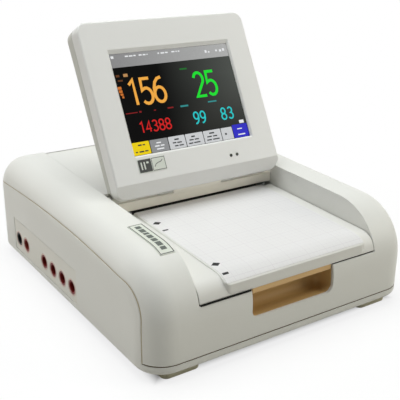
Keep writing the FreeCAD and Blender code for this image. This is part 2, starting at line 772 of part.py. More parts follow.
# Socket panel let into the left wall, with a flange behind the wall
PANEL_FACE = f"(-{HALF} + fit_gap)"
PANEL_BACK = f"(-{HALF} + case_wall + socket_panel_thickness)"
panel_plate = box("panel_plate", (PANEL_FACE, PANEL_BACK),
                  (f"{SOCKETS_FRONT} + fit_gap", f"{SOCKETS_BACK} - fit_gap"),
                  ("socket_panel_foot + fit_gap", "socket_panel_head - fit_gap"))
panel_flange = box("panel_flange", (f"-{HALF} + case_wall", PANEL_BACK),
                   (f"{SOCKETS_FRONT} - socket_panel_flange", f"{SOCKETS_BACK} + socket_panel_flange"),
                   ("socket_panel_foot - socket_panel_flange", "socket_panel_head + socket_panel_flange"))
fetal_places = [f"({SOCKETS_FRONT} + socket_first + {number} * socket_pitch)"
                for number in range(FETAL_SOCKETS)]
MATERNAL_Y = f"({SOCKETS_BACK} - maternal_setback)"
PRESSURE_Y = f"({SOCKETS_BACK} - pressure_setback)"
socket_places = fetal_places + [MATERNAL_Y, PRESSURE_Y]
panel_holes = [cylinder(f"panel_hole{number}", "x", (f"-{HALF} - overrun", place, "socket_height"),
                        "2 * overrun", "socket_radius + fit_gap / 2")
               for number, place in enumerate(socket_places)]
node("socket_panel", cut("socket_panel", fuse("panel_solid", panel_plate, panel_flange), *panel_holes))


def socket(name, place, contacts):
    """A round socket: a sleeve with a flange behind the panel and contact holes in its floor."""
    start = f"({PANEL_FACE} + fit_gap)"
    sleeve = cylinder(f"{name}_sleeve", "x", (start, place, "socket_height"), "socket_length",
                      "socket_radius")
    flange = cylinder(f"{name}_flange", "x", (PANEL_BACK, place, "socket_height"), "socket_flange",
                      "socket_radius + socket_flange")
    bore = cylinder(f"{name}_bore", "x", (f"{start} - overrun", place, "socket_height"),
                    "overrun + socket_bore_depth", "socket_bore")
    tools = [bore]
    for number in range(contacts):
        turn = 360 * number / contacts
        across = f"{place} + contact_circle * cos({turn})"
        level = f"socket_height + contact_circle * sin({turn})"
        tools.append(cylinder(f"{name}_contact{number}", "x",
                              (f"{start} + socket_bore_depth / 2", across, level),
                              "socket_bore_depth / 2 + contact_depth", "contact_radius"))
    return cut(name, fuse(f"{name}_solid", sleeve, flange), *tools)


fetal = [socket(f"fetal_socket{number}", place, CONTACTS) for number, place in enumerate(fetal_places)]
node("fetal_sockets", group("fetal_sockets", fetal))
node("maternal_socket", socket("maternal_socket", MATERNAL_Y, CONTACTS))
node("pressure_socket", socket("pressure_socket", PRESSURE_Y, 1))
SOCKET_END = f"({PANEL_FACE} + fit_gap + socket_length)"
node("socket_board", box("socket_board", (SOCKET_END, f"{SOCKET_END} + socket_board_thickness"),
                         (SOCKETS_FRONT, SOCKETS_BACK),
                         ("socket_height - socket_board_height / 2",
                          "socket_height + socket_board_height / 2")))

# Rear panel behind the recess in the rear wall, with what it carries
PANEL_INSIDE = f"({REAR_PANEL} - rear_panel_thickness)"
rear_plate = box("rear_plate", both("rear_opening_width / 2 + rear_frame_wall"), (PANEL_INSIDE, REAR_PANEL),
                 ("rear_opening_foot - rear_frame_wall", "rear_opening_head + rear_frame_wall"))
rear_cuts = [box("inlet_hole",
                 ("inlet_place - inlet_width / 2 - fit_gap", "inlet_place + inlet_width / 2 + fit_gap"),
                 (f"{PANEL_INSIDE} - overrun", f"{REAR_PANEL} + overrun"),
                 ("inlet_height - inlet_tall / 2 - fit_gap", "inlet_height + inlet_tall / 2 + fit_gap")),
             cylinder("stud_hole", "y", ("stud_place", f"{PANEL_INSIDE} - overrun", "inlet_height"),
                      "2 * overrun", "stud_neck + screw_clearance")]
rear_screws = []
for number, (x, z) in enumerate(QUARTERS):
    px, pz = rear_screw_place(x, z)
    rear_cuts.append(cylinder(f"plate_screw_hole{number}", "y", (px, f"{PANEL_INSIDE} - overrun", pz),
                              "2 * overrun", "rear_screw_radius + screw_clearance"))
    shank = cylinder(f"rear_screw_shank{number}", "y", (px, PANEL_INSIDE, pz), "rear_screw_length",
                     "rear_screw_radius")
    head = cylinder(f"rear_screw_head{number}", "y", (px, f"{PANEL_INSIDE} - rear_panel_thickness", pz),
                    "rear_panel_thickness", "2 * rear_screw_radius")
    rear_screws.append(fuse(f"rear_screw{number}", shank, head))
node("rear_panel", cut("rear_panel", rear_plate, *rear_cuts))
node("rear_screws", group("rear_screws", rear_screws))

inlet_flange = box("inlet_flange",
                   ("inlet_place - inlet_flange_width / 2", "inlet_place + inlet_flange_width / 2"),
                   (REAR_PANEL, f"{REAR_PANEL} + inlet_flange"),
                   ("inlet_height - inlet_flange_tall / 2", "inlet_height + inlet_flange_tall / 2"))
inlet_body = box("inlet_body", ("inlet_place - inlet_width / 2", "inlet_place + inlet_width / 2"),
                 (f"{REAR_PANEL} - inlet_rear", f"{REAR_PANEL} + inlet_flange / 2"),
                 ("inlet_height - inlet_tall / 2", "inlet_height + inlet_tall / 2"))
INLET_FLOOR = f"({REAR_PANEL} + inlet_flange - inlet_cavity_depth)"
inlet_cavity = box("inlet_cavity",
                   ("inlet_place - inlet_cavity_width / 2", "inlet_place + inlet_cavity_width / 2"),
                   (INLET_FLOOR, f"{REAR_PANEL} + overrun"),
                   ("inlet_height - inlet_cavity_tall / 2", "inlet_height + inlet_cavity_tall / 2"))
node("mains_inlet", cut("mains_inlet", fuse("inlet_solid", inlet_flange, inlet_body), inlet_cavity))
blades = []
for number, (across, lift) in enumerate(((-1, -1), (0, 1), (1, -1))):
    bx = f"inlet_place + {across} * blade_pitch"
    bz = f"inlet_height + {lift} * blade_tall / 2"
    blades.append(box(f"blade{number}", (f"{bx} - blade_width / 2", f"{bx} + blade_width / 2"),
                      (INLET_FLOOR, f"{REAR_PANEL} + inlet_flange / 2"),
                      (f"{bz} - blade_tall / 2", f"{bz} + blade_tall / 2")))
node("inlet_blades", group("inlet_blades", blades))
STUD_FOOT = f"({PANEL_INSIDE} - stud_nut_height)"
stud_neck = cylinder("stud_neck", "y", ("stud_place", STUD_FOOT, "inlet_height"),
                     "stud_nut_height + rear_panel_thickness + stud_collar", "stud_neck")
stud_nut = cylinder("stud_nut_disc", "y", ("stud_place", STUD_FOOT, "inlet_height"), "stud_nut_height",
                    "stud_nut")
stud_collar = cylinder("stud_collar_disc", "y", ("stud_place", REAR_PANEL, "inlet_height"), "stud_collar",
                       "stud_nut")
stud_pin = cylinder("stud_pin", "y", ("stud_place", f"{REAR_PANEL} + stud_collar", "inlet_height"),
                    "stud_length", "stud_radius")
node("ground_stud", fuse("ground_stud", stud_neck, stud_nut, stud_collar, stud_pin))
node("option_cover", slab("option_cover_flat", both("option_width / 2"), both("option_tall / 2"),
                          ("0", "option_thickness"), "option_thickness", "option_thickness / 4"))
NODES["option_cover"].Placement = Placement(Vector(), TURNS["y"])
bind(NODES["option_cover"], "Placement.Base.x", "option_place")
bind(NODES["option_cover"], "Placement.Base.y", REAR_PANEL)
bind(NODES["option_cover"], "Placement.Base.z", "(rear_opening_foot + rear_opening_head) / 2")

# Cross bar over the paper slot: a channel open below, hung between the bay walls
bar_block = box("bar_block", both(f"{BAY} - fit_gap"), (BAR_FRONT, f"{BAR_BACK} - fit_gap"),
                (BAR_FOOT, BAR_TOP))
bar_channel = box("bar_channel", both(f"{BAY} + overrun"),
                  (f"{BAR_FRONT} + bar_wall", f"{BAR_BACK} - fit_gap - bar_wall"),
                  (f"{BAR_FOOT} - overrun", f"{BAR_TOP} - bar_wall"))
node("hinge_bar", cut("hinge_bar", bar_block, bar_channel))

# Hinge block on the bar, with the pin through it
block_barrel = cylinder("block_barrel", "x", ("-hinge_block_width / 2", HINGE_Y, HINGE_Z),
                        "hinge_block_width", "hinge_block_radius")
BLOCK_FOOT = f"({HINGE_Y} + fit_gap)"
block_foot = box("block_foot", both("hinge_block_width / 2"),
                 (f"{BLOCK_FOOT} - hinge_block_foot / 2", f"{BLOCK_FOOT} + hinge_block_foot / 2"),
                 (BAR_TOP, HINGE_Z))
block_foot_trim = box("block_foot_trim", both("hinge_block_width"), (f"{BAR_FRONT} - overrun", BAR_FRONT),
                      (f"{BAR_TOP} - overrun", f"{HINGE_Z} - hinge_block_radius"))
block_bore = cylinder("block_bore", "x", ("-hinge_block_width", HINGE_Y, HINGE_Z), "2 * hinge_block_width",
                      "hinge_pin_radius + pin_clearance")
block_solid = fuse("block_solid", block_barrel, block_foot)
node("hinge_block", cut("hinge_block", block_solid, block_bore, block_foot_trim))
PIN_END = "(hinge_block_width / 2 + 2 * fit_gap + hinge_lug_width)"
node("hinge_pin", cylinder("hinge_pin", "x", (f"-{PIN_END}", HINGE_Y, HINGE_Z), f"2 * {PIN_END}",
                           "hinge_pin_radius"))

# Paper table: the drawer's lid, flush with the shoulders' roll, with a raised platform for the paper
table_half = f"({BAY} - table_side_gap)"
table_block = sloped_box("table_block", both(table_half), (f"{FRONT} - overrun", TABLE_BACK),
                         ("-table_skirt", "0"), TABLE)
table_under = sloped_box("table_under", both(f"{table_half} - table_wall"),
                         (f"{FRONT} + 2 * table_apron", f"{TABLE_BACK} + overrun"),
                         ("-table_skirt - overrun", "-table_wall"), TABLE)
table_below = box("table_below", both(HALF), (f"{FRONT} - overrun", f"{TABLE_BACK} + overrun"),
                  (f"{TABLE_FOOT} - 2 * table_skirt", TABLE_FOOT))
table_flush = common("table_flush", table_block, envelope)
doc.recompute()
sloped_up = Vector(0, -math.sin(math.radians(size("top_slope"))), math.cos(math.radians(size("top_slope"))))
table_top = max(vertex.Point.dot(sloped_up) for vertex in table_flush.Shape.Vertexes)


def table_crease(edge):
    """Where the flat margins meet the shoulders' front roll."""
    level = abs(edge.CenterOfMass.dot(sloped_up) - table_top) < size("fit_gap") / 10
    return level and along(edge, X_AXIS) and edge.CenterOfMass.y < -size("case_depth") / 4


table_soft = rounded("table_soft", table_flush, "margin_roll", table_crease)
table_rim = cut("table_rim", table_soft, table_under)
platform_x = (f"{PAPER_LEFT} - platform_margin", f"{PAPER_RIGHT} + platform_margin")
NOSE = f"({FRONT} + nose_setback)"
BROW_START = f"({NOSE} + brow_length)"
BROW_Y = f"({BROW_START} * cos(top_slope) - (platform_rise - brow_roll) * sin(top_slope))"
BROW_Z = f"({TABLE} + {BROW_START} * sin(top_slope) + (platform_rise - brow_roll) * cos(top_slope))"


def draped(name, x, front, lift):
    """A block under the table's slope that falls away over the brow at its front."""
    block = sloped_box(f"{name}_block", x, (front, TABLE_BACK), ("-table_skirt", lift), TABLE)
    flat = sloped_box(f"{name}_flat", (f"{x[0]} - overrun", f"{x[1]} + overrun"),
                      (BROW_START, f"{TABLE_BACK} + overrun"),
                      ("-2 * table_skirt", f"{lift} + overrun"), TABLE)
    brow = cylinder(f"{name}_brow", "x", (f"{x[0]} - overrun", BROW_Y, BROW_Z),
                    f"{x[1]} - {x[0]} + 2 * overrun", f"brow_roll - platform_rise + {lift}")
    return common(name, block, fuse(f"{name}_form", flat, brow))


platform_block = draped("platform_block", platform_x, NOSE, "platform_rise")
doc.recompute()
platform_front = platform_block.Shape.BoundBox.YMin
platform_nose = rounded("platform_nose", platform_block, "nose_corner",
                        lambda e: along(e, Z_AXIS)
                        and e.BoundBox.YMin < platform_front + size("nose_setback"))
doc.recompute()
platform_top = max(vertex.Point.dot(sloped_up) for vertex in platform_nose.Shape.Vertexes)
brow_drop = size("brow_roll") - math.sqrt(size("brow_roll") ** 2 - size("brow_length") ** 2)


def platform_rim_edge(edge):
    """The platform's upper rim, apart from its rear edge."""
    level = edge.CenterOfMass.dot(sloped_up) > platform_top - brow_drop - size("platform_edge")
    behind = edge.BoundBox.YMin > platform_nose.Shape.BoundBox.YMax - size("table_wall")
    across = along(edge, X_AXIS) and edge.CenterOfMass.y > platform_front + size("nose_corner")
    return level and not behind and not across and not along(edge, Z_AXIS)


platform_soft = rounded("platform_soft", platform_nose, "platform_edge", platform_rim_edge)
platform_under = sloped_box("platform_under",
                            (f"{platform_x[0]} + table_wall", f"{platform_x[1]} - table_wall"),
                            (f"{NOSE} + table_apron", f"{TABLE_BACK} + overrun"),
                            ("-table_skirt - overrun", "-table_wall"), TABLE)
platform = cut("platform", platform_soft, platform_under)
node("paper_table", cut("paper_table", fuse("table_solid", table_rim, platform), table_below))
PAPER_X = (PAPER_LEFT, PAPER_RIGHT)
paper_block = draped("paper_block", PAPER_X, f"{NOSE} + platform_margin", "(platform_rise + paper_thickness)")
paper_below = draped("paper_below", platform_x, f"{NOSE} - overrun", "platform_rise")
node("chart_paper", cut("chart_paper", paper_block, paper_below))
grip_block = box("grip_block", both("grip_width / 2"),
                 (f"{NOSE} + grip_setback", f"{NOSE} + grip_setback + grip_thickness"),
                 (f"{TABLE_FOOT} - grip_drop", TABLE_FOOT))
doc.recompute()
grip_low = grip_block.Shape.BoundBox.ZMin
node("pull_grip", rounded("pull_grip", grip_block, "grip_edge",
                          lambda e: along(e, X_AXIS) and e.CenterOfMass.z < grip_low + size("fit_gap")))

# Recorder chassis: a paper well hung under the bay walls, with two side plates for roller and motor
FLANGE_FOOT = f"({WALL_FOOT} - chassis_flange)"
WELL_FOOT = f"({FLANGE_FOOT} - well_depth)"
WELL_X = (f"{PAPER_LEFT} - pack_gap", f"{PAPER_RIGHT} + pack_gap")
flange = box("flange", both(f"{BAY} + bay_wall"), (WELL_FRONT, PLATE_BACK), (FLANGE_FOOT, WALL_FOOT))
well = box("well", (f"{WELL_X[0]} - chassis_sheet", f"{WELL_X[1]} + chassis_sheet"),
           (WELL_FRONT, WELL_BACK), (WELL_FOOT, WALL_FOOT))
well_void = box("well_void", WELL_X, (f"{WELL_FRONT} + chassis_sheet", f"{WELL_BACK} - chassis_sheet"),
                (f"{WELL_FOOT} + chassis_sheet", f"{WALL_FOOT} + overrun"))
rear_window = box("rear_window", (f"{GEAR_LEFT} - gear_stand_off", f"{PLATE_RIGHT}"),
                  (f"{WELL_BACK} + chassis_sheet", f"{PLATE_BACK} - chassis_sheet"),
                  (f"{FLANGE_FOOT} - overrun", f"{WALL_FOOT} + overrun"))
PLATE_FRONT = f"({BAR_FRONT} - plate_front_gap)"
PLATE_FOOT = f"({MOTOR_Z} - {MOTOR_RADIUS} - chassis_sheet)"
PLATE_HEAD = f"({ROLLER_Z} + plate_top_reach)"
plates = []
for side, span in (("left", (f"{PLATE_LEFT} - chassis_sheet", PLATE_LEFT)),
                   ("right", (PLATE_RIGHT, f"{PLATE_RIGHT} + chassis_sheet"))):
    plates.append(box(f"plate_{side}", span, (PLATE_FRONT, PLATE_BACK), (PLATE_FOOT, PLATE_HEAD)))
    plates.append(box(f"plate_arm_{side}", span,
                      (f"{WELL_BACK} - chassis_sheet / 2", f"{PLATE_FRONT} + chassis_sheet"),
                      (WELL_FOOT, WALL_FOOT)))
brace = box("brace", both(f"{BAY} + bay_wall"), (f"{PLATE_BACK} - chassis_sheet", PLATE_BACK),
            (WELL_FOOT, WALL_FOOT))
frame_base = cut("frame_base", fuse("frame_plates", flange, well), well_void, rear_window)
bush_holes = cylinder("bush_holes", "x", (f"{PLATE_LEFT} - overrun", ROLLER_Y, ROLLER_Z),
                      f"{PLATE_RIGHT} - {PLATE_LEFT} + 2 * overrun", "bush_radius + pin_clearance")
motor_hole = cylinder("motor_hole", "x", (f"{PLATE_LEFT} - overrun", ROLLER_Y, MOTOR_Z), "2 * overrun",
                      "2 * motor_shaft_radius")
axle_hole = cylinder("axle_hole", "x", (f"{PLATE_LEFT} - overrun", ROLLER_Y, IDLER_Z), "2 * overrun",
                     "axle_radius + pin_clearance")
node("recorder_chassis", cut("recorder_chassis", fuse("frame_whole", frame_base, brace, *plates),
                             bush_holes, motor_hole, axle_hole))
PACK_FRONT = f"({WELL_FRONT} + chassis_sheet + pack_gap)"
PACK_BACK = f"({WELL_BACK} - chassis_sheet - pack_slack)"
node("paper_pack", box("paper_pack", (PAPER_LEFT, PAPER_RIGHT), (PACK_FRONT, PACK_BACK),
                       (f"{WELL_FOOT} + chassis_sheet", f"{WELL_FOOT} + chassis_sheet + pack_height")))

# Bushes, each with a collar inside its side plate
bushes = []
for side, plate, inward in (("left", PLATE_LEFT, 1), ("right", PLATE_RIGHT, -1)):
    outside = f"({plate} - {inward} * chassis_sheet)"
    low = outside if inward > 0 else f"({plate} - bush_collar)"
    collar_low = plate if inward > 0 else f"({plate} - bush_collar)"
    ring = cylinder(f"bush_ring_{side}", "x", (low, ROLLER_Y, ROLLER_Z), "chassis_sheet + bush_collar",
                    "bush_radius")
    collar = cylinder(f"bush_collar_{side}", "x", (collar_low, ROLLER_Y, ROLLER_Z), "bush_collar",
                      "bush_radius + bush_collar")
    bore = cylinder(f"bush_bore_{side}", "x", (f"{low} - overrun", ROLLER_Y, ROLLER_Z),
                    "2 * overrun + bush_length", "shaft_radius + pin_clearance")
    bushes.append(cut(f"bush_{side}", fuse(f"bush_solid_{side}", ring, collar), bore))
node("bearing_bushes", group("bearing_bushes", bushes))

# Platen: a rubber roller on a steel shaft, with its gear outside the left plate
ROLLER_LEFT = f"({PAPER_LEFT} - roller_overhang)"
roller_length = f"({PAPER_RIGHT} - {PAPER_LEFT} + 2 * roller_overhang)"
roller_tube = cylinder("roller_tube", "x", (ROLLER_LEFT, ROLLER_Y, ROLLER_Z), roller_length, "roller_radius")
roller_bore = cylinder("roller_bore", "x", (f"{ROLLER_LEFT} - overrun", ROLLER_Y, ROLLER_Z),
                       f"{roller_length} + 2 * overrun", "shaft_radius + pin_clearance / 2")
node("platen_roller", cut("platen_roller", roller_tube, roller_bore))
SHAFT_LEFT = f"({GEAR_LEFT} - fit_gap)"
node("platen_shaft", cylinder("platen_shaft", "x", (SHAFT_LEFT, ROLLER_Y, ROLLER_Z),
                              f"{PLATE_RIGHT} + chassis_sheet + bush_collar - {SHAFT_LEFT}", "shaft_radius"))


def involute(base_radius, radius):
    """The involute's polar angle at a radius outside its base circle."""
    pressure = math.acos(min(1.0, base_radius / radius))
    return math.tan(pressure) - pressure


def gear_shape(teeth, bore, phase):
    """A spur gear about the X axis, with involute flanks and a bore; phase is one tooth's direction."""
    module = size("gear_module")
    pitch = module * teeth / 2
    base = pitch * math.cos(PRESSURE_ANGLE)
    tip = pitch + ADDENDUM_SHARE * module
    root = pitch - DEDENDUM_SHARE * module
    low = max(base, root)
    half = math.pi / (2 * teeth) - size("gear_slack") / (2 * pitch) + involute(base, pitch)
    points = []
    for tooth in range(teeth):
        middle = phase + 2 * math.pi * tooth / teeth
        radii = [low + (tip - low) * step / (FLANK_POINTS - 1) for step in range(FLANK_POINTS)]
        flank = [(radius, half - involute(base, radius)) for radius in radii]
        outline = [(root, -half)] if root < low else []
        outline += [(radius, -turn) for radius, turn in flank]
        outline += [(radius, turn) for radius, turn in reversed(flank)]
        outline += [(root, half)] if root < low else []
        for radius, turn in outline:
            points.append(Vector(0, radius * math.cos(middle + turn), radius * math.sin(middle + turn)))
    rim = Part.Face(Part.Wire(Part.makePolygon(points + points[:1]).Edges))
    gear = rim.extrude(Vector(size("gear_width"), 0, 0))
    if bore:
        start = Vector(-size("gear_width"), 0, 0)
        gear = gear.cut(Part.makeCylinder(bore, 3 * size("gear_width"), start, X_AXIS))
    return gear


def gear(name, teeth, bore, phase, height):
    thing = doc.addObject("Part::Feature", name)
    thing.Shape = gear_shape(teeth, bore, phase)
    bind(thing, "Placement.Base.x", GEAR_LEFT)
    bind(thing, "Placement.Base.y", ROLLER_Y)
    bind(thing, "Placement.Base.z", height)
    return thing


DOWN, UP = -math.pi / 2, math.pi / 2
node("platen_gear", gear("platen_gear", PLATEN_TEETH, size("shaft_radius") + size("pin_clearance") / 2,
                         DOWN, ROLLER_Z))
node("idler_gear", gear("idler_gear", IDLER_TEETH, size("axle_radius") + size("pin_clearance"),
                        UP + math.pi / IDLER_TEETH, IDLER_Z))
pinion = gear("pinion", PINION_TEETH, 0, UP, MOTOR_Z)
pinion_shaft = cylinder("pinion_shaft", "x", (GEAR_LEFT, ROLLER_Y, MOTOR_Z),
                        f"{PLATE_LEFT} + motor_length / 2 - {GEAR_LEFT}", "motor_shaft_radius")
node("motor_pinion", fuse("motor_pinion", pinion, pinion_shaft))
node("idler_axle", cylinder("idler_axle", "x", (f"{GEAR_LEFT} - fit_gap", ROLLER_Y, IDLER_Z),
                            f"{PLATE_LEFT} - {GEAR_LEFT} + fit_gap", "axle_radius"))
motor_can = cylinder("motor_can", "x", (PLATE_LEFT, ROLLER_Y, MOTOR_Z), "motor_length", MOTOR_RADIUS)
motor_bore = cylinder("motor_bore", "x", (f"{PLATE_LEFT} - overrun", ROLLER_Y, MOTOR_Z),
                      "overrun + motor_length / 2 + fit_gap", "motor_shaft_radius + pin_clearance")
node("paper_motor", cut("paper_motor", motor_can, motor_bore))

# Print head under the cross bar, a heat sink with a ceramic strip over the roller
HEAD_FOOT = f"({ROLLER_Z} + roller_radius + head_lift)"
head_sink = box("head_sink", (PAPER_LEFT, PAPER_RIGHT), (f"{BAR_FRONT} + head_front - head_depth / 2",
                f"{BAR_FRONT} + head_front + head_depth / 2"), (BAR_FOOT, f"{BAR_TOP} - bar_wall"))
head_strip = box("head_strip", (PAPER_LEFT, PAPER_RIGHT),
                 (f"{ROLLER_Y} - head_strip / 2", f"{ROLLER_Y} + head_strip / 2"),
                 (HEAD_FOOT, f"{BAR_TOP} - bar_wall"))
node("print_head", fuse("print_head", head_sink, head_strip))

# Main board on spacers, with a shield can, between the pump and the supply
PUMP_X = f"(-{HALF} + pump_inset)"
SUPPLY_RIGHT = f"({HALF} - supply_inset)"
SUPPLY_LEFT = f"({SUPPLY_RIGHT} - supply_width)"
BOARD_LEFT = f"({PUMP_X} + board_pump_gap)"
BOARD_WIDTH = f"({SUPPLY_LEFT} - board_supply_gap - {BOARD_LEFT})"
BOARD_FRONT = f"({PLATE_BACK} + board_front_gap)"
BOARD_DEPTH = f"({REAR_PANEL} - board_rear_gap - {BOARD_FRONT})"
BOARD_FOOT = f"({FLOOR} + board_rise)"
BOARD_TOP = f"({BOARD_FOOT} + board_thickness)"
node("main_board", box("main_board", (BOARD_LEFT, f"{BOARD_LEFT} + {BOARD_WIDTH}"),
                       (BOARD_FRONT, f"{BOARD_FRONT} + {BOARD_DEPTH}"), (BOARD_FOOT, BOARD_TOP)))
spacers = []
for number, (x, y) in enumerate(QUARTERS):
    sx = f"{BOARD_LEFT} + {BOARD_WIDTH} / 2 + {x} * ({BOARD_WIDTH} / 2 - spacer_inset)"
    sy = f"{BOARD_FRONT} + {BOARD_DEPTH} / 2 + {y} * ({BOARD_DEPTH} / 2 - spacer_inset)"
    spacers.append(cylinder(f"board_spacer{number}", "z", (sx, sy, FLOOR), "board_rise", "spacer_radius"))
node("board_spacers", group("board_spacers", spacers))
node("shield_can", slab("shield_can", [f"{BOARD_LEFT} + {share} * {BOARD_WIDTH}" for share in CAN_SHARES],
                        [f"{BOARD_FRONT} + {share} * {BOARD_DEPTH}" for share in CAN_SHARES],
                        (BOARD_TOP, f"{BOARD_TOP} + can_height"), "can_height / 5", "can_height / 10"))

# Power supply: a folded tray on two long feet, with its board and blocks
SUPPLY_FOOT = f"({FLOOR} + supply_rise)"
supply_y = (BOARD_FRONT, f"{BOARD_FRONT} + {BOARD_DEPTH}")
supply_tray = box("supply_tray", (SUPPLY_LEFT, SUPPLY_RIGHT), supply_y,
                  (SUPPLY_FOOT, f"{SUPPLY_FOOT} + supply_height"))
supply_room = box("supply_room", (f"{SUPPLY_LEFT} + supply_sheet", f"{SUPPLY_RIGHT} - supply_sheet"),
                  (f"{supply_y[0]} - overrun", f"{supply_y[1]} + overrun"),
                  (f"{SUPPLY_FOOT} + supply_board", f"{SUPPLY_FOOT} + supply_height + overrun"))
supply_feet = [box("supply_foot_left", (SUPPLY_LEFT, f"{SUPPLY_LEFT} + supply_foot"), supply_y,
                   (FLOOR, SUPPLY_FOOT)),
               box("supply_foot_right", (f"{SUPPLY_RIGHT} - supply_foot", SUPPLY_RIGHT), supply_y,
                   (FLOOR, SUPPLY_FOOT))]
node("power_supply", fuse("power_supply", cut("supply_open", supply_tray, supply_room), *supply_feet))

# Pressure pump in a cradle on the floor
PUMP_Z = f"({FLOOR} + pump_cradle + pump_radius)"
PUMP_FRONT = f"({SOCKETS_BACK} - pump_setback)"
pump_can = cylinder("pump_can", "y", (PUMP_X, PUMP_FRONT, PUMP_Z), "pump_length", "pump_radius")
pump_nozzle = cylinder("pump_nozzle", "y", (PUMP_X, f"{PUMP_FRONT} - pump_nozzle_length", PUMP_Z),
                       "pump_nozzle_length + pump_radius", "pump_nozzle_radius")
pump_seat = box("pump_seat", (f"{PUMP_X} - pump_radius", f"{PUMP_X} + pump_radius"),
                (f"{PUMP_FRONT} + pump_radius / 2", f"{PUMP_FRONT} + pump_length - pump_radius / 2"),
                (FLOOR, PUMP_Z))
node("pressure_pump", fuse("pressure_pump", pump_can, pump_nozzle, pump_seat))

# Loudspeaker against the right wall: a basket with its magnet, and the cone in it
SPEAKER_FACE = f"({HALF} - case_wall)"
basket = cylinder("basket", "x", (f"{SPEAKER_FACE} - speaker_rim_depth", SPEAKER_Y, SPEAKER_Z),
                  "speaker_rim_depth", SPEAKER_RADIUS)
magnet = cylinder("magnet", "x", (f"{SPEAKER_FACE} - speaker_depth", SPEAKER_Y, SPEAKER_Z),
                  "speaker_depth - speaker_rim_depth / 2", "speaker_magnet")
basket_room = cylinder("basket_room", "x", (f"{SPEAKER_FACE} - speaker_rim_depth + cone_thickness", SPEAKER_Y,
                       SPEAKER_Z), "speaker_rim_depth + overrun", f"{SPEAKER_RADIUS} - speaker_rim")
node("loudspeaker", cut("loudspeaker", fuse("speaker_solid", basket, magnet), basket_room))
cone_rim = f"({SPEAKER_FACE} - speaker_rim_depth + cone_thickness)"
cone = doc.addObject("Part::Cone", "cone_full")
cone.Placement = Placement(Vector(), TURNS["x"])
bind(cone, "Radius1", "speaker_magnet / 2")
bind(cone, "Radius2", f"{SPEAKER_RADIUS} - speaker_rim - fit_gap")
bind(cone, "Height", "speaker_rim_depth - 2 * cone_thickness")
bind(cone, "Placement.Base.x", cone_rim)
bind(cone, "Placement.Base.y", SPEAKER_Y)
bind(cone, "Placement.Base.z", SPEAKER_Z)
node("speaker_cone", cone)

# Display bezel: the front half of the tilting head, with the window, the sloped chin and screw bosses
display_half = f"({BAY} - display_side_gap)"
RISE = f"({SEAT_BACK} - {HINGE_Y} - display_head_gap)"
WINDOW_HALF = f"({display_half} - window_side)"
WINDOW_HEAD = f"({RISE} - window_drop)"
bezel_form = slab("bezel_form", both(display_half), ("-display_drop", RISE),
                  ("display_parting", "display_front"), "display_corner", "bezel_edge")
chin = doc.addObject("Part::Box", "chin_slope")
chin.Placement = Placement(Vector(), Rotation(X_AXIS, 1))
chin_run = "(2 * overrun + display_drop)"
bind(chin, "Placement.Rotation.Angle", "chin_angle")
bind(chin, "Length", f"2 * {display_half} + 2 * overrun")
bind(chin, "Width", chin_run)
bind(chin, "Height", "overrun + display_front")
bind(chin, "Placement.Base.x", f"-{display_half} - overrun")
bind(chin, "Placement.Base.y", f"chin_rise - {chin_run} * cos(chin_angle)")
bind(chin, "Placement.Base.z", f"display_front - {chin_run} * sin(chin_angle)")
inner_x = both(f"{display_half} - display_wall")
inner_y = ("chin_height", f"{RISE} - display_wall")
BEZEL_INSIDE = "(display_front - display_wall)"
bezel_space = box("bezel_space", inner_x, inner_y, ("display_parting - overrun", BEZEL_INSIDE))
bezel_room = rounded("bezel_room", bezel_space, "display_inner_corner", lambda e: along(e, Z_AXIS))
window_hole = box("window_hole", both(WINDOW_HALF), ("window_foot", WINDOW_HEAD),
                  ("display_parting - overrun", "display_front + overrun"))
brow = doc.addObject("Part::Box", "window_brow")
brow.Placement = Placement(Vector(), Rotation(X_AXIS, 1))
bind(brow, "Placement.Rotation.Angle", "window_brow_angle")
bind(brow, "Length", f"2 * {WINDOW_HALF}")
bind(brow, "Width", "overrun")
bind(brow, "Height", "overrun")
bind(brow, "Placement.Base.x", f"-{WINDOW_HALF}")
bind(brow, "Placement.Base.y", WINDOW_HEAD)
bind(brow, "Placement.Base.z", "display_front - window_brow_depth")
knuckle_room = box("knuckle_room", both("hinge_block_width / 2 + 2 * fit_gap + hinge_lug_width + fit_gap"),
                   ("-display_drop - overrun", "hinge_lug_radius + 2 * fit_gap"),
                   ("-display_back - overrun", "hinge_lug_radius + 2 * fit_gap"))


def display_corner(x, y):
    place = f"{x} * ({display_half} - display_screw_inset)"
    if y < 0:
        return place, "chin_height + display_screw_inset"
    return place, f"{RISE} - display_screw_inset"


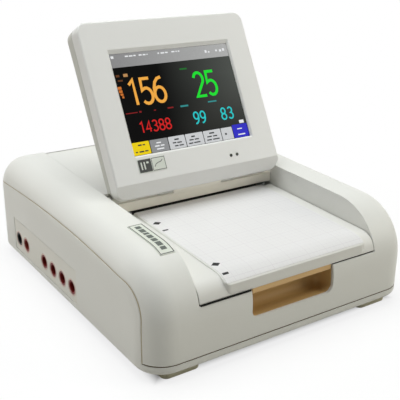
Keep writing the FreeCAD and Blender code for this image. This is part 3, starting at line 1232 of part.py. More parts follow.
bezel_bosses, bezel_holes, cover_bosses, cover_holes, display_screws = [], [], [], [], []
COVER_TOP = "(display_parting - fit_gap)"
for number, (x, y) in enumerate(QUARTERS):
    px, py = display_corner(x, y)
    bezel_bosses.append(cylinder(f"bezel_boss{number}", "z", (px, py, "display_parting"),
                                 f"{BEZEL_INSIDE} - display_parting + display_wall / 2",
                                 "display_boss_radius"))
    bezel_holes.append(cylinder(f"bezel_hole{number}", "z", (px, py, "display_parting - overrun"),
                                f"{BEZEL_INSIDE} - display_parting + overrun",
                                "display_screw_radius + screw_clearance"))
    back = f"(-display_back - ({py}) * tan(cover_taper))"
    cover_bosses.append(cylinder(f"cover_boss{number}", "z", (px, py, f"{back} + display_wall / 2"),
                                 f"{COVER_TOP} - {back} - display_wall / 2", "display_boss_radius"))
    cover_holes.append(cylinder(f"cover_hole{number}", "z", (px, py, f"{back} - overrun"),
                                "4 * overrun", "display_screw_radius + screw_clearance"))
    cover_holes.append(cylinder(f"cover_sink{number}", "z", (px, py, f"{back} - overrun"),
                                "overrun + display_wall", "display_screw_head + screw_clearance"))
    head = cylinder(f"display_screw_head{number}", "z", (px, py, f"{back} + fit_gap"),
                    "display_wall - fit_gap", "display_screw_head")
    shank = cylinder(f"display_screw_shank{number}", "z", (px, py, f"{back} + fit_gap"),
                     f"{BEZEL_INSIDE} - {back} - 2 * display_wall", "display_screw_radius")
    display_screws.append(fuse(f"display_screw{number}", head, shank))
lens_holes = []
lenses = []
for number, side in enumerate(SIGNS):
    place = f"{WINDOW_HALF} - lens_inset + {side} * lens_pitch / 2"
    lens_holes.append(cylinder(f"lens_hole{number}", "z", (place, "lens_height", BEZEL_INSIDE),
                               "display_wall + overrun", "lens_radius + screw_clearance"))
    lenses.append(cylinder(f"lens{number}", "z", (place, "lens_height", BEZEL_INSIDE),
                           "display_wall + lens_proud", "lens_radius"))
bezel_open = cut("bezel_open", bezel_form, bezel_room)
bezel_whole = fuse("bezel_whole", bezel_open, *bezel_bosses)
bezel_cut = cut("bezel_cut", bezel_whole, chin, window_hole, brow, knuckle_room, *bezel_holes, *lens_holes)
doc.recompute()
front_face = size("display_front")
window_bounds = window_hole.Shape.BoundBox


def window_edge(edge):
    """The window's front rim."""
    middle = edge.CenterOfMass
    level = abs(edge.BoundBox.ZMin - front_face) < size("fit_gap") / 10
    inside = abs(middle.x) < window_bounds.XMax + size("fit_gap")
    high = window_bounds.YMin - size("fit_gap") < middle.y < window_bounds.YMax + size("fit_gap")
    straight = along(edge, X_AXIS) or along(edge, Y_AXIS)
    return level and inside and high and straight


bevel = doc.addObject("Part::Chamfer", "display_bezel")
bevel.Base = bezel_cut
bevel.Edges = [(index, size("window_bevel"), size("window_bevel"))
               for index, edge in enumerate(bezel_cut.Shape.Edges, 1) if window_edge(edge)]
node("display_bezel", tilt(bevel))

# Display rear cover, deeper towards its top, with the two hinge lugs
def tapered(thing):
    """Turns a form about the hinge axis by the rear cover's taper."""
    thing.Placement = Placement(Vector(), Rotation(X_AXIS, -1))
    bind(thing, "Placement.Rotation.Angle", "-cover_taper")
    return thing


cover_form = tapered(slab("cover_form", both(display_half), ("-display_drop", RISE),
                          ("-display_back", "display_parting + overrun"), "display_corner", "cover_edge",
                          top=False))
cover_ahead = box("cover_ahead", both(f"2 * {display_half}"),
                  ("-display_drop - overrun", f"{RISE} + overrun"),
                  (COVER_TOP, "display_parting + 3 * overrun"))
cover_space = box("cover_space", inner_x, inner_y,
                  ("-display_back + display_wall", "display_parting + 2 * overrun"))
cover_soft = rounded("cover_soft", cover_space, "display_inner_corner", lambda e: along(e, Z_AXIS))
cover_room = tapered(group("cover_room", [cover_soft]))
lugs = []
for side in SIGNS:
    start = "hinge_block_width / 2 + 2 * fit_gap"
    low = start if side > 0 else f"-({start} + hinge_lug_width)"
    lugs.append(cylinder(f"lug{side + 1}", "x", (low, "0", "0"), "hinge_lug_width", "hinge_lug_radius"))
    lugs.append(box(f"lug_web{side + 1}", (low, f"{low} + hinge_lug_width"),
                    ("0", "chin_height + display_wall"), ("-display_back", "0")))
lug_bore = cylinder("lug_bore", "x", (f"-{display_half}", "0", "0"), f"2 * {display_half}",
                    "hinge_pin_radius + pin_clearance")
cover_shell = cut("cover_shell", cover_form, cover_room, cover_ahead, knuckle_room)
cover_whole = fuse("cover_whole", cover_shell, *lugs, *cover_bosses)
node("display_rear_cover", tilt(cut("display_rear_cover", cover_whole, lug_bore, *cover_holes)))
node("display_screws", tilt(group("display_screws", display_screws)))
node("indicator_lenses", tilt(group("indicator_lenses", lenses)))

# Screen stack behind the window: glass, panel, spacers and board
def screen_layer(name, border, low, high):
    sheet_box = box(f"{name}_sheet", both(f"{WINDOW_HALF} + {border}"),
                    (f"window_foot - {border}", f"{WINDOW_HEAD} + {border}"), (low, high))
    return group(name, [sheet_box])


GLASS_FOOT = f"({BEZEL_INSIDE} - glass_thickness)"
LCD_FOOT = f"({GLASS_FOOT} - panel_thickness)"
SPACER_FOOT = f"({LCD_FOOT} - display_spacer_height)"
node("touch_screen", tilt(screen_layer("touch_screen", "glass_border", GLASS_FOOT, BEZEL_INSIDE)))
node("lcd_panel", tilt(screen_layer("lcd_panel", "panel_border", LCD_FOOT, GLASS_FOOT)))
node("display_board", tilt(screen_layer("display_board", "-display_board_border",
                                        f"{SPACER_FOOT} - display_board_thickness", SPACER_FOOT)))
stack_spacers = []
for number, (x, y) in enumerate(QUARTERS):
    sx = f"{x} * ({WINDOW_HALF} - display_board_border - 2 * display_spacer_radius)"
    reach = f"(({WINDOW_HEAD} - window_foot) / 2 - display_board_border - 2 * display_spacer_radius)"
    sy = f"(window_foot + {WINDOW_HEAD}) / 2 + {y} * {reach}"
    stack_spacers.append(cylinder(f"display_spacer{number}", "z", (sx, sy, SPACER_FOOT),
                                  "display_spacer_height", "display_spacer_radius"))
node("display_spacers", tilt(group("display_spacers", stack_spacers)))
LABEL_X = f"(label_inset - {WINDOW_HALF})"
label_sheet = box("label_sheet", (f"{LABEL_X} - label_width / 2", f"{LABEL_X} + label_width / 2"),
                  ("label_level - label_height / 2", "label_level + label_height / 2"),
                  ("display_front", "display_front + label_thickness"))
node("label_plate", tilt(group("label_plate", [label_sheet])))

doc.recompute()
for item in doc.Objects:
    if "Invalid" in item.State or "Error" in item.State:
        raise RuntimeError(f"{item.Name} failed: {item.State}")
for name, item in NODES.items():
    if item.Shape.isNull() or not item.Shape.isValid() or not item.Shape.Solids:
        raise RuntimeError(f"{name} has no valid solid")

os.makedirs("parts", exist_ok=True)
for name, item in NODES.items():
    item.Shape.exportStep(f"parts/{name}.step")
print(len(NODES), "nodes")
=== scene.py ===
import json
import math
import bmesh
import bpy
from mathutils import Matrix, Vector


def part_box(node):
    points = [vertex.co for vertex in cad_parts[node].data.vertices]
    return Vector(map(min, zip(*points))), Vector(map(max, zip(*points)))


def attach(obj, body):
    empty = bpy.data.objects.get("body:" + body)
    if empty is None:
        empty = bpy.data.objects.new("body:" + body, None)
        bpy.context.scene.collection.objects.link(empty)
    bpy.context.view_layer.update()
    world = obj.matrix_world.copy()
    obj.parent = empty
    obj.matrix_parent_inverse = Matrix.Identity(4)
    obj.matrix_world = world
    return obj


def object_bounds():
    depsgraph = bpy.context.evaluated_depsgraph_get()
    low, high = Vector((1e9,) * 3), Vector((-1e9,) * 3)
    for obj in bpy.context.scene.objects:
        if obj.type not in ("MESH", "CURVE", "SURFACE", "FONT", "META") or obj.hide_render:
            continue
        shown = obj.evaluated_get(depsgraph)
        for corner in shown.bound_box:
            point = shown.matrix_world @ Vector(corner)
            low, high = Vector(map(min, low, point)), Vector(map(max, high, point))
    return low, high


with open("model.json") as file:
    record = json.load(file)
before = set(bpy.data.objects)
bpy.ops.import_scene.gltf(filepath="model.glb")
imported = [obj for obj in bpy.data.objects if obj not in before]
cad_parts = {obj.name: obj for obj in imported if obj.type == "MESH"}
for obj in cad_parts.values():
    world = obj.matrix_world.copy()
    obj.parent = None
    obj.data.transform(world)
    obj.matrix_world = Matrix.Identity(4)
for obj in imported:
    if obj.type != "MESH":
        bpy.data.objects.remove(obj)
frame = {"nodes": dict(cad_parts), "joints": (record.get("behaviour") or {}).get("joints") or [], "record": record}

cad_box = [list(corner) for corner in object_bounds()]
nodes = frame["nodes"]


# Lower case: the tub of the monitor, with its floor, sides and rear wall.
# Injection-moulded cream plastic with a fine spark-eroded grain, with painted shade darkening it
# towards its foot, held to the upper case by four screws from below.
def srgb(red, green, blue):
    """A colour as it reads on screen, as the linear values a shader takes."""
    linear = []
    for level in (red, green, blue):
        share = level / 255
        linear.append(((share + 0.055) / 1.055) ** 2.4 if level > 10 else share / 12.92)
    return (*linear, 1)


def new_group(name, inputs, outputs):
    """An empty shader group with its named sockets, its input node and its output node."""
    tree = bpy.data.node_groups.new(name, "ShaderNodeTree")
    for label, value in inputs:
        kind = "NodeSocketVector" if isinstance(value, tuple) else "NodeSocketFloat"
        tree.interface.new_socket(label, in_out="INPUT", socket_type=kind).default_value = value
    for label, kind in outputs:
        tree.interface.new_socket(label, in_out="OUTPUT", socket_type=kind)
    return tree, tree.nodes.new("NodeGroupInput"), tree.nodes.new("NodeGroupOutput")


def add(tree, kind, **settings):
    """A node with its settings; sockets are given by name in values, sources by name in links."""
    node = tree.nodes.new(kind)
    values, links = settings.pop("values", {}), settings.pop("links", {})
    for key, value in settings.items():
        setattr(node, key, value)
    for key, value in values.items():
        node.inputs[key].default_value = value
    for key, source in links.items():
        tree.links.new(source, node.inputs[key])
    return node


def fill(tree, sockets, terms):
    """Sets sockets in turn to numbers, colours or other nodes' outputs."""
    for socket, term in zip(sockets, terms):
        if isinstance(term, (int, float, tuple)):
            socket.default_value = term
        else:
            tree.links.new(term, socket)


def math_node(tree, operation, *terms, clamp=False):
    """One sum of numbers or sockets."""
    node = add(tree, "ShaderNodeMath", operation=operation, use_clamp=clamp)
    fill(tree, node.inputs, terms)
    return node.outputs[0]


def mixed(tree, mask, first, second):
    """A colour between two, by a mask."""
    node = add(tree, "ShaderNodeMix", data_type="RGBA")
    fill(tree, (node.inputs[0], node.inputs[6], node.inputs[7]), (mask, first, second))
    return node.outputs[2]


def ramp(tree, source, start, end, **settings):
    """Rises from nothing to one while a value goes from start to end."""
    node = add(tree, "ShaderNodeMapRange", values={"From Min": start, "From Max": end},
               links={"Value": source}, **settings)
    return node.outputs["Result"]


def own_place(tree):
    """The place of a point in the object's own frame."""
    return add(tree, "ShaderNodeTexCoord").outputs["Object"]


def split(tree, place):
    """A place as its three coordinates, by name."""
    return add(tree, "ShaderNodeSeparateXYZ", links={0: place}).outputs


grain_tree, grain_in, grain_out = new_group(
    "moulding grain", (("Grain", 900.0), ("Cloud", 14.0)),
    (("Height", "NodeSocketFloat"), ("Cloud", "NodeSocketFloat")))
where = own_place(grain_tree)
for source, target, detail, roughness in (("Grain", "Height", 4.0, 0.65), ("Cloud", "Cloud", 5.0, 0.55)):
    noise = add(grain_tree, "ShaderNodeTexNoise", values={"Detail": detail, "Roughness": roughness},
                links={"Vector": where, "Scale": grain_in.outputs[source]})
    grain_tree.links.new(noise.outputs["Fac"], grain_out.inputs[target])

EDGE_GAIN = 4.0
rub_tree, rub_in, rub_out = new_group(
    "edge rub", (("Radius", 0.0012), ("Breakup", 120.0)),
    (("Edge", "NodeSocketFloat"), ("Normal", "NodeSocketVector")))
softened = add(rub_tree, "ShaderNodeBevel", samples=6, links={"Radius": rub_in.outputs["Radius"]})
flat = add(rub_tree, "ShaderNodeNewGeometry")
turn = add(rub_tree, "ShaderNodeVectorMath", operation="DOT_PRODUCT",
           links={0: softened.outputs["Normal"], 1: flat.outputs["Normal"]}).outputs["Value"]
breakup = add(rub_tree, "ShaderNodeTexNoise", values={"Detail": 3.0},
              links={"Vector": own_place(rub_tree), "Scale": rub_in.outputs["Breakup"]})
bare = math_node(rub_tree, "MULTIPLY", math_node(rub_tree, "SUBTRACT", 1.0, turn), EDGE_GAIN, clamp=True)
rubbed_off = math_node(rub_tree, "MULTIPLY", bare, breakup.outputs["Fac"])
rub_tree.links.new(rubbed_off, rub_out.inputs["Edge"])
rub_tree.links.new(softened.outputs["Normal"], rub_out.inputs["Normal"])


def blank(name):
    """A new material, its tree and its Principled shader."""
    material = bpy.data.materials.new(name)
    material.use_nodes = True
    return material, material.node_tree, material.node_tree.nodes["Principled BSDF"]


def use(tree, group, **values):
    """Places a shader group in a material, with its own values."""
    node = add(tree, "ShaderNodeGroup", node_tree=group)
    for label, value in values.items():
        node.inputs[label].default_value = value
    return node


def roughen(tree, shader, height, normal, strength, distance):
    """A bump by a height, on top of a normal where there is one."""
    links = {"Height": height, "Normal": normal} if normal else {"Height": height}
    bump = add(tree, "ShaderNodeBump", values={"Strength": strength, "Distance": distance}, links=links)
    tree.links.new(bump.outputs["Normal"], shader.inputs["Normal"])


RUB_SHARE = 0.7
GLOSS_SPREAD = 0.16
PLASTIC_SPECULAR = 0.25
GRAIN_STRENGTH = 0.35
FOOT_SHADE_TOP, FOOT_SHADE_LOW = 0.0115, 0.0085


def moulded(name, colour, shade, worn, roughness=0.42, grain=900.0, depth=0.00006, radius=0.0012, foot_shade=None):
    """Moulded plastic or rubber: clouded, paler along worn edges, fine-grained, with painted shade towards the
    foot where asked.
    """
    material, tree, shader = blank(name)
    texture = use(tree, grain_tree, Grain=grain)
    edge = use(tree, rub_tree, Radius=radius)
    body = mixed(tree, texture.outputs["Cloud"], srgb(*colour), srgb(*shade))
    if foot_shade:
        # Painted shade: darker towards the bottom edge, for the shadow under the case's rounded foot
        height = split(tree, own_place(tree))["Z"]
        shade_at_foot = ramp(tree, height, FOOT_SHADE_TOP, FOOT_SHADE_LOW, interpolation_type="SMOOTHSTEP")
        body = mixed(tree, shade_at_foot, body, srgb(*foot_shade))
    rubbed = math_node(tree, "MULTIPLY", edge.outputs["Edge"], RUB_SHARE)
    tree.links.new(mixed(tree, rubbed, body, srgb(*worn)), shader.inputs["Base Color"])
    glossiest = roughness - GLOSS_SPREAD / 2
    gloss = math_node(tree, "MULTIPLY_ADD", texture.outputs["Cloud"], GLOSS_SPREAD, glossiest)
    tree.links.new(gloss, shader.inputs["Roughness"])
    shader.inputs["Specular IOR Level"].default_value = PLASTIC_SPECULAR
    roughen(tree, shader, texture.outputs["Height"], edge.outputs["Normal"], GRAIN_STRENGTH, depth)
    return material


def dress(material, *names):
    """Gives CAD nodes a finish through their material slots."""
    for name in names:
        for slot in nodes[name].material_slots:
            slot.material = material


CASE_CREAM = (229, 229, 225), (225, 225, 220), (236, 236, 233)
dress(moulded("case plastic with painted foot shade", *CASE_CREAM, foot_shade=(168, 164, 146)), "lower_case")


# Rubber feet: four soft blocks that stand the monitor on a bench.
# Moulded pale olive rubber, pressed and glued into shallow pockets of the floor.
foot_rubber = moulded("foot rubber", (210, 206, 182), (200, 196, 172), (218, 214, 194),
                      roughness=0.8, grain=1400.0, depth=0.0001)
dress(foot_rubber, "rubber_feet")


# Case screws: four pan-head screws driven up through the floor into the posts.
# Bright zinc-plated steel, turned and rolled.
TURNED = (4.0, 500.0, 500.0)
LINE_SPREAD, LINE_DROP = 0.22, 0.1
METAL_RUB = 0.0004
lines_tree, lines_in, lines_out = new_group(
    "rolled lines", (("Run", TURNED),), (("Lines", "NodeSocketFloat"),))
along = add(lines_tree, "ShaderNodeMapping",
            links={"Vector": own_place(lines_tree), "Scale": lines_in.outputs["Run"]})
drawn = add(lines_tree, "ShaderNodeTexNoise", values={"Scale": 6.0, "Detail": 6.0, "Roughness": 0.7},
            links={"Vector": along.outputs["Vector"]})
lines_tree.links.new(drawn.outputs["Fac"], lines_out.inputs["Lines"])


def plated(name, colour, dull, roughness=0.3, run=TURNED):
    """Worked metal: fine lines along the way it was rolled or turned, brighter at worn edges."""
    material, tree, shader = blank(name)
    colour, dull = srgb(*colour), srgb(*dull)
    lines = use(tree, lines_tree, Run=run).outputs["Lines"]
    edge = use(tree, rub_tree, Radius=METAL_RUB)
    tint = mixed(tree, lines, colour, dull)
    tree.links.new(mixed(tree, edge.outputs["Edge"], tint, colour), shader.inputs["Base Color"])
    gloss = math_node(tree, "MULTIPLY_ADD", lines, LINE_SPREAD, roughness - LINE_DROP)
    tree.links.new(gloss, shader.inputs["Roughness"])
    shader.inputs["Metallic"].default_value = 1.0
    roughen(tree, shader, lines, edge.outputs["Normal"], strength=0.2, distance=0.00003)
    return material


zinc = plated("bright zinc", (196, 198, 200), (150, 152, 156))
dress(zinc, "case_screws")


# Inside the tub: the main board on its spacers with a shield can, the mains supply,
# the pressure pump and the loudspeaker behind its grille. Glass-fibre board with green
# solder resist, folded tinplate, painted steel and a paper cone; all screwed or clipped down.
PAD_SIZE, PAD_METAL = 0.14, 0.9


def circuit_board(name):
    """Green resist over copper tracks, with tinned pads."""
    material, tree, shader = blank(name)
    place = own_place(tree)
    tracks = add(tree, "ShaderNodeTexBrick", offset=0.37, squash=1.6,
                 values={"Scale": 160.0, "Mortar Size": 0.035, "Color1": srgb(22, 84, 46),
                         "Color2": srgb(26, 92, 52), "Mortar": srgb(48, 122, 70)},
                 links={"Vector": place})
    pads = add(tree, "ShaderNodeTexVoronoi", values={"Scale": 220.0}, links={"Vector": place})
    pad_mask = math_node(tree, "LESS_THAN", pads.outputs["Distance"], PAD_SIZE)
    tinned = mixed(tree, pad_mask, tracks.outputs["Color"], srgb(196, 192, 176))
    tree.links.new(tinned, shader.inputs["Base Color"])
    tree.links.new(math_node(tree, "MULTIPLY", pad_mask, PAD_METAL), shader.inputs["Metallic"])
    shader.inputs["Roughness"].default_value = 0.35
    return material


tinplate = plated("folded tinplate", (190, 192, 192), (160, 162, 163),
                  roughness=0.38, run=(120.0, 6.0, 120.0))
enamel_black = moulded("black enamel", (46, 47, 49), (34, 35, 37), (92, 92, 92), roughness=0.35)
cone_paper = moulded("cone paper", (52, 50, 47), (40, 38, 36), (64, 62, 58), roughness=0.9, grain=2400.0)
dress(circuit_board("green circuit board"), "main_board", "socket_board", "display_board")
dress(zinc, "board_spacers", "loudspeaker")
dress(tinplate, "shield_can", "power_supply")
dress(enamel_black, "pressure_pump")
dress(cone_paper, "speaker_cone")


# Socket panel: a plate let into the left wall, with six round sockets for the transducers.
# Cream plastic like the case; the sockets are coloured sleeves with contact holes,
# clipped in from behind, each with a thin pale rim moulded on the panel round it.
dress(moulded("cream panel plastic", (228, 227, 220), (223, 221, 213), (236, 235, 229)), "socket_panel")
for finish, sleeve, tones in (
        ("dark red sleeve", "fetal_sockets", ((136, 34, 30), (108, 26, 24), (170, 76, 66))),
        ("red-brown sleeve", "maternal_socket", ((156, 62, 50), (128, 48, 40), (184, 100, 84))),
        ("black sleeve", "pressure_socket", ((34, 33, 32), (24, 23, 23), (70, 68, 66)))):
    dress(moulded(finish, *tones, roughness=0.35, radius=0.0005), sleeve)


def piece(name, mesh, material, body, smooth=False):
    """A finished mesh as a named piece that rides on a body."""
    bmesh.ops.recalc_face_normals(mesh, faces=mesh.faces)
    data = bpy.data.meshes.new(name)
    mesh.to_mesh(data)
    mesh.free()
    data.materials.append(material)
    if smooth:
        data.polygons.foreach_set("use_smooth", [True] * len(data.polygons))
    item = bpy.data.objects.new(name, data)
    bpy.context.scene.collection.objects.link(item)
    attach(item, body)


def tube(mesh, rows, closed=False):
    """Skins a tube through rows of points, joined into a ring or capped at both ends."""
    for row, following in zip(rows, rows[1:] + rows[:1] if closed else rows[1:]):
        for corner in range(len(row)):
            after = (corner + 1) % len(row)
            mesh.faces.new((row[corner], row[after], following[after], following[corner]))
    if not closed:
        mesh.faces.new(rows[0])
        mesh.faces.new(rows[-1])


def turned(mesh, profile, place, steps=40):
    """A ring turned from a closed profile of (radius, height) points."""
    rows = []
    for step in range(steps):
        angle = 2 * math.pi * step / steps
        rows.append([mesh.verts.new(place(r * math.cos(angle), r * math.sin(angle), h)) for r, h in profile])
    tube(mesh, rows, closed=True)


RIM_BORE, RIM_EDGE, RIM_SUNK = 0.00712, 0.0085, -0.0002
rim_profile = [(RIM_BORE, 0.0001), (0.0074, 0.00025), (0.0078, 0.0003), (0.0082, 0.0002),
               (RIM_EDGE, 0.0), (RIM_EDGE, RIM_SUNK), (RIM_BORE, RIM_SUNK)]
rim_pale = moulded("pale rim", (226, 206, 196), (214, 190, 180), (236, 222, 214),
                   roughness=0.4, radius=0.0004)
panel_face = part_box("socket_panel")[0].x
for mount in frame["record"]["mounts"]:
    if not (mount["name"].endswith("socket") or "_socket_" in mount["name"]):
        continue
    middle = Vector(mount["pos_m"])
    ring = bmesh.new()
    turned(ring, rim_profile, lambda a, b, h: Vector((panel_face - h, middle.y + a, middle.z + b)))
    piece(f"rim_{mount['name']}", ring, rim_pale, "housing", smooth=True)


# Rear panel: the sheet behind the recess in the rear wall, with the mains inlet, the
# grounding stud and a blanking cover. Powder-coated sheet steel, screwed on from inside;
# black moulded inlet with plated blades, plated stud.
powder_grey = moulded("grey powder coat", (186, 186, 180), (176, 176, 170), (206, 206, 202),
                      roughness=0.6, grain=1600.0, depth=0.00012)
inlet_black = moulded("black inlet plastic", (36, 36, 36), (28, 28, 28), (74, 74, 72),
                      roughness=0.45, radius=0.0006)
cover_grey = moulded("blanking cover plastic", (214, 211, 200), (206, 202, 190), (226, 224, 216))
dress(powder_grey, "rear_panel")
dress(zinc, "rear_screws", "inlet_blades", "ground_stud")
dress(inlet_black, "mains_inlet")
dress(cover_grey, "option_cover")


# Recorder: the chassis under the bay with the paper pack, the rubber feed roller on its
# shaft, three plastic gears, their motor and the print head. Folded aluminium, sintered
# bronze bushes and acetal gears, hung under the bay walls as one unit.
alloy = plated("folded aluminium", (204, 206, 208), (178, 180, 183),
               roughness=0.42, run=(6.0, 160.0, 160.0))
bronze = plated("sintered bronze", (176, 134, 78), (140, 102, 56), roughness=0.45)
acetal = moulded("gear acetal", (226, 222, 206), (218, 213, 196), (238, 236, 226),
                 roughness=0.3, radius=0.0003)
roller_black = moulded("roller rubber", (48, 48, 47), (36, 36, 36), (66, 65, 62),
                       roughness=0.7, grain=2600.0)
LEAVES_PER_METRE, FOLD_SHARE = 2600.0, 0.3


def folded_paper():
    """A pack of fan-fold paper: white, with the leaves' edges as fine level lines."""
    material, tree, shader = blank("fan-fold leaves")
    height = split(tree, own_place(tree))["Z"]
    leaf = math_node(tree, "FRACT", math_node(tree, "MULTIPLY", height, LEAVES_PER_METRE))
    line = math_node(tree, "LESS_THAN", leaf, FOLD_SHARE)
    tree.links.new(mixed(tree, line, srgb(240, 239, 236), srgb(212, 210, 206)), shader.inputs["Base Color"])
    roughen(tree, shader, leaf, None, strength=0.4, distance=0.0001)
    shader.inputs["Roughness"].default_value = 0.85
    return material


dress(alloy, "recorder_chassis", "print_head")
dress(bronze, "bearing_bushes")
dress(acetal, "platen_gear", "idler_gear", "motor_pinion")
dress(roller_black, "platen_roller")
dress(zinc, "platen_shaft", "idler_axle")
dress(enamel_black, "paper_motor")
dress(folded_paper(), "paper_pack")


# Upper case: the saddle over the tub, with the two shoulders, the front wall, the bay for
# the paper and the seat for the folded display. The same cream moulding, with slick strips
# stuck on the bay's ledges for the drawer to run on.
slick = moulded("slick strip", (236, 236, 232), (228, 228, 224), (242, 242, 240),
                roughness=0.22, radius=0.0004)
dress(moulded("cream case plastic", *CASE_CREAM), "upper_case")
dress(slick, "glide_strips")


# Seam shade strips: two flat cords laid in the seams between the cases, one up the sides and across the
# rear wall, one along the front above the skirt. Painted shade for the seams' dark gaps: tan at the sides
# and brown at the skirt.
TILT = math.radians(2)
SLOPE = math.tan(TILT)
TOP, FRONT, REAR = 0.105, -0.1675, 0.1675
SIDE_ROLL, FRONT_ROLL, REAR_ROLL = 0.026, 0.054, 0.034
SIDE_FLAT = cad_box[1][0] - SIDE_ROLL
SEAM_EDGE, SEAM_SKIRT, SEAM_TURN = -0.151, 0.017, 0.028
CASE_SWEEP, SEAM_HALF = 1.75, 0.0005
SEAM_SWEEP = CASE_SWEEP + SEAM_HALF
CREST_Y, CREST_Z = 0.03, 0.0863
SWEEP_MIDDLE = Vector((CREST_Y, CREST_Z - CASE_SWEEP))
FRONT_SETBACK, REAR_SETBACK = 0.0001, 0.0003
EDGE_STEPS, ARCH_STEPS, SWEEP_STEPS, FRONT_STEPS = 6, 14, 60, 12
SEAM_STRIP_WIDTH, SEAM_STRIP_FOOT, SEAM_STRIP_FACE = 0.0009, -0.0016, -0.00015


def roll_middle(y, radius):
    """Where a roll of the case's outline is centred, under the sloping top."""
    return Vector((y, TOP + y * SLOPE - radius * math.hypot(1, SLOPE)))


front_middle = roll_middle(FRONT + FRONT_ROLL, FRONT_ROLL)
rear_middle = roll_middle(REAR - REAR_ROLL, REAR_ROLL)


def case_skin(y, z):
    """The case's half-width and outward direction at a place on its side, where its rolls draw it in."""
    spot = Vector((y, z))
    if y < front_middle.x and z < front_middle.y:
        depth, out = y - FRONT, Vector((-1, 0))
    elif y < front_middle.x:
        depth, out = FRONT_ROLL - (spot - front_middle).length, (spot - front_middle).normalized()
    elif y > rear_middle.x and z > rear_middle.y:
        depth, out = REAR_ROLL - (spot - rear_middle).length, (spot - rear_middle).normalized()
    else:
        depth, out = (TOP + y * SLOPE - z) / math.hypot(1, SLOPE), Vector((-SLOPE, 1)).normalized()
    inward = min(1.0, max(0.0, 1 - depth / SIDE_ROLL))
    sideways = math.sqrt(1 - inward ** 2)
    return SIDE_FLAT + SIDE_ROLL * sideways, Vector((sideways, inward * out.x, inward * out.y))


def bunched(share):
    """Even shares drawn together towards the end, where the skin turns fastest."""
    return 1 - (1 - share) ** 2


def sweep_height(y, radius):
    """How high a long sweep of some radius stands over a place along the case."""
    return SWEEP_MIDDLE.y + math.sqrt(radius ** 2 - (y - SWEEP_MIDDLE.x) ** 2)


def seam_side():
    """The seam up the side's front edge, over its arch and back along the long sweep to the rear wall."""
    arch_y = SEAM_EDGE + SEAM_TURN
    arch = Vector((arch_y, sweep_height(arch_y, SEAM_SWEEP - SEAM_TURN)))
    steep = math.degrees(math.atan2(arch.y - SWEEP_MIDDLE.y, arch.x - SWEEP_MIDDLE.x))
    rise = arch.y - SEAM_SKIRT
    path = [Vector((SEAM_EDGE, SEAM_SKIRT + rise * step / EDGE_STEPS)) for step in range(EDGE_STEPS)]
    for step in range(ARCH_STEPS + 1):
        angle = math.radians(180 + (steep - 180) * step / ARCH_STEPS)
        path.append(arch + SEAM_TURN * Vector((math.cos(angle), math.sin(angle))))
    start = path[-1].x
    for step in range(1, SWEEP_STEPS + 1):
        y = start + (REAR - REAR_SETBACK - start) * bunched(step / SWEEP_STEPS)
        path.append(Vector((y, sweep_height(y, SEAM_SWEEP))))
    return path


def seam_front():
    """The level seam above the skirt, from the side's front edge round to the front wall."""
    reach = FRONT + FRONT_SETBACK - SEAM_EDGE
    shares = [bunched(step / FRONT_STEPS) for step in range(FRONT_STEPS + 1)]
    return [Vector((SEAM_EDGE + reach * share, SEAM_SKIRT)) for share in shares]


def cord(mesh, points, directions, width, low, high):
    """A flat cord along points in space, facing out along its directions."""
    rows = []
    for index, (point, out) in enumerate(zip(points, directions)):
        heading = (points[min(index + 1, len(points) - 1)] - points[max(index - 1, 0)]).normalized()
        across = out.cross(heading).normalized() * width / 2
        near, far = point - across, point + across
        corners = (near + out * low, near + out * high, far + out * high, far + out * low)
        rows.append([mesh.verts.new(corner) for corner in corners])
    tube(mesh, rows)


# Painted shade: these tan and brown finishes stand in for the shadow inside the seams' gaps
seam_shade_tan = moulded("side seam painted shade", (196, 184, 158), (188, 176, 150), (204, 194, 172),
                     roughness=0.8, radius=0.0002)
skirt_shade_brown = moulded("skirt seam painted shade", (84, 68, 34), (72, 56, 26), (94, 78, 46),
                       roughness=0.8, radius=0.0002)
for name, path, rubber in (("seam_shade_strip", seam_side(), seam_shade_tan),
                           ("skirt_shade_strip", seam_front(), skirt_shade_brown)):
    skin = [case_skin(spot.x, spot.y) for spot in path]
    halves = []
    for hand in (-1, 1):
        points = [Vector((hand * wide, spot.x, spot.y)) for (wide, out), spot in zip(skin, path)]
        outs = [Vector((hand * out.x, out.y, out.z)) for wide, out in skin]
        halves.append((points, outs))
    (left, left_out), (right, right_out) = halves
    seam_strip = bmesh.new()
    cord(seam_strip, left + right[::-1], left_out + right_out[::-1], SEAM_STRIP_WIDTH, SEAM_STRIP_FOOT, SEAM_STRIP_FACE)
    piece(name, seam_strip, rubber, "housing")


# Lid gap shades: two strips on the sill of the front wall, on either side of the finger opening,
# under the paper lid's edge. Black painted shade for the dark gap between lid and sill.
GAP_SHADE_ENDS = (0.0457, 0.0955)
GAP_SHADE_BRINKS = ((-1, -0.1662), (1, -0.1645))
GAP_SHADE_BACK, GAP_SHADE_CORNER = -0.1625, 0.0004
GAP_SHADE_FOOT, GAP_SHADE_TOP = 0.06105, 0.06235
CORNER_STEPS = 4


def rounded_tile(mesh, left, right, low, high, corner, place, foot, top):
    """A thin tile with rounded corners."""
    outline = []
    for x, y, start in ((right - corner, high - corner, 0), (left + corner, high - corner, 90),
                        (left + corner, low + corner, 180), (right - corner, low + corner, 270)):
        for step in range(CORNER_STEPS + 1):
            angle = math.radians(start + 90 * step / CORNER_STEPS)
            outline.append((x + corner * math.cos(angle), y + corner * math.sin(angle)))
    under = [mesh.verts.new(place(x, y, foot)) for x, y in outline]
    over = [mesh.verts.new(place(x, y, top)) for x, y in outline]
    mesh.faces.new(over)
    mesh.faces.new(list(reversed(under)))
    for index in range(len(outline)):
        after = (index + 1) % len(outline)
        mesh.faces.new((under[index], under[after], over[after], over[index]))


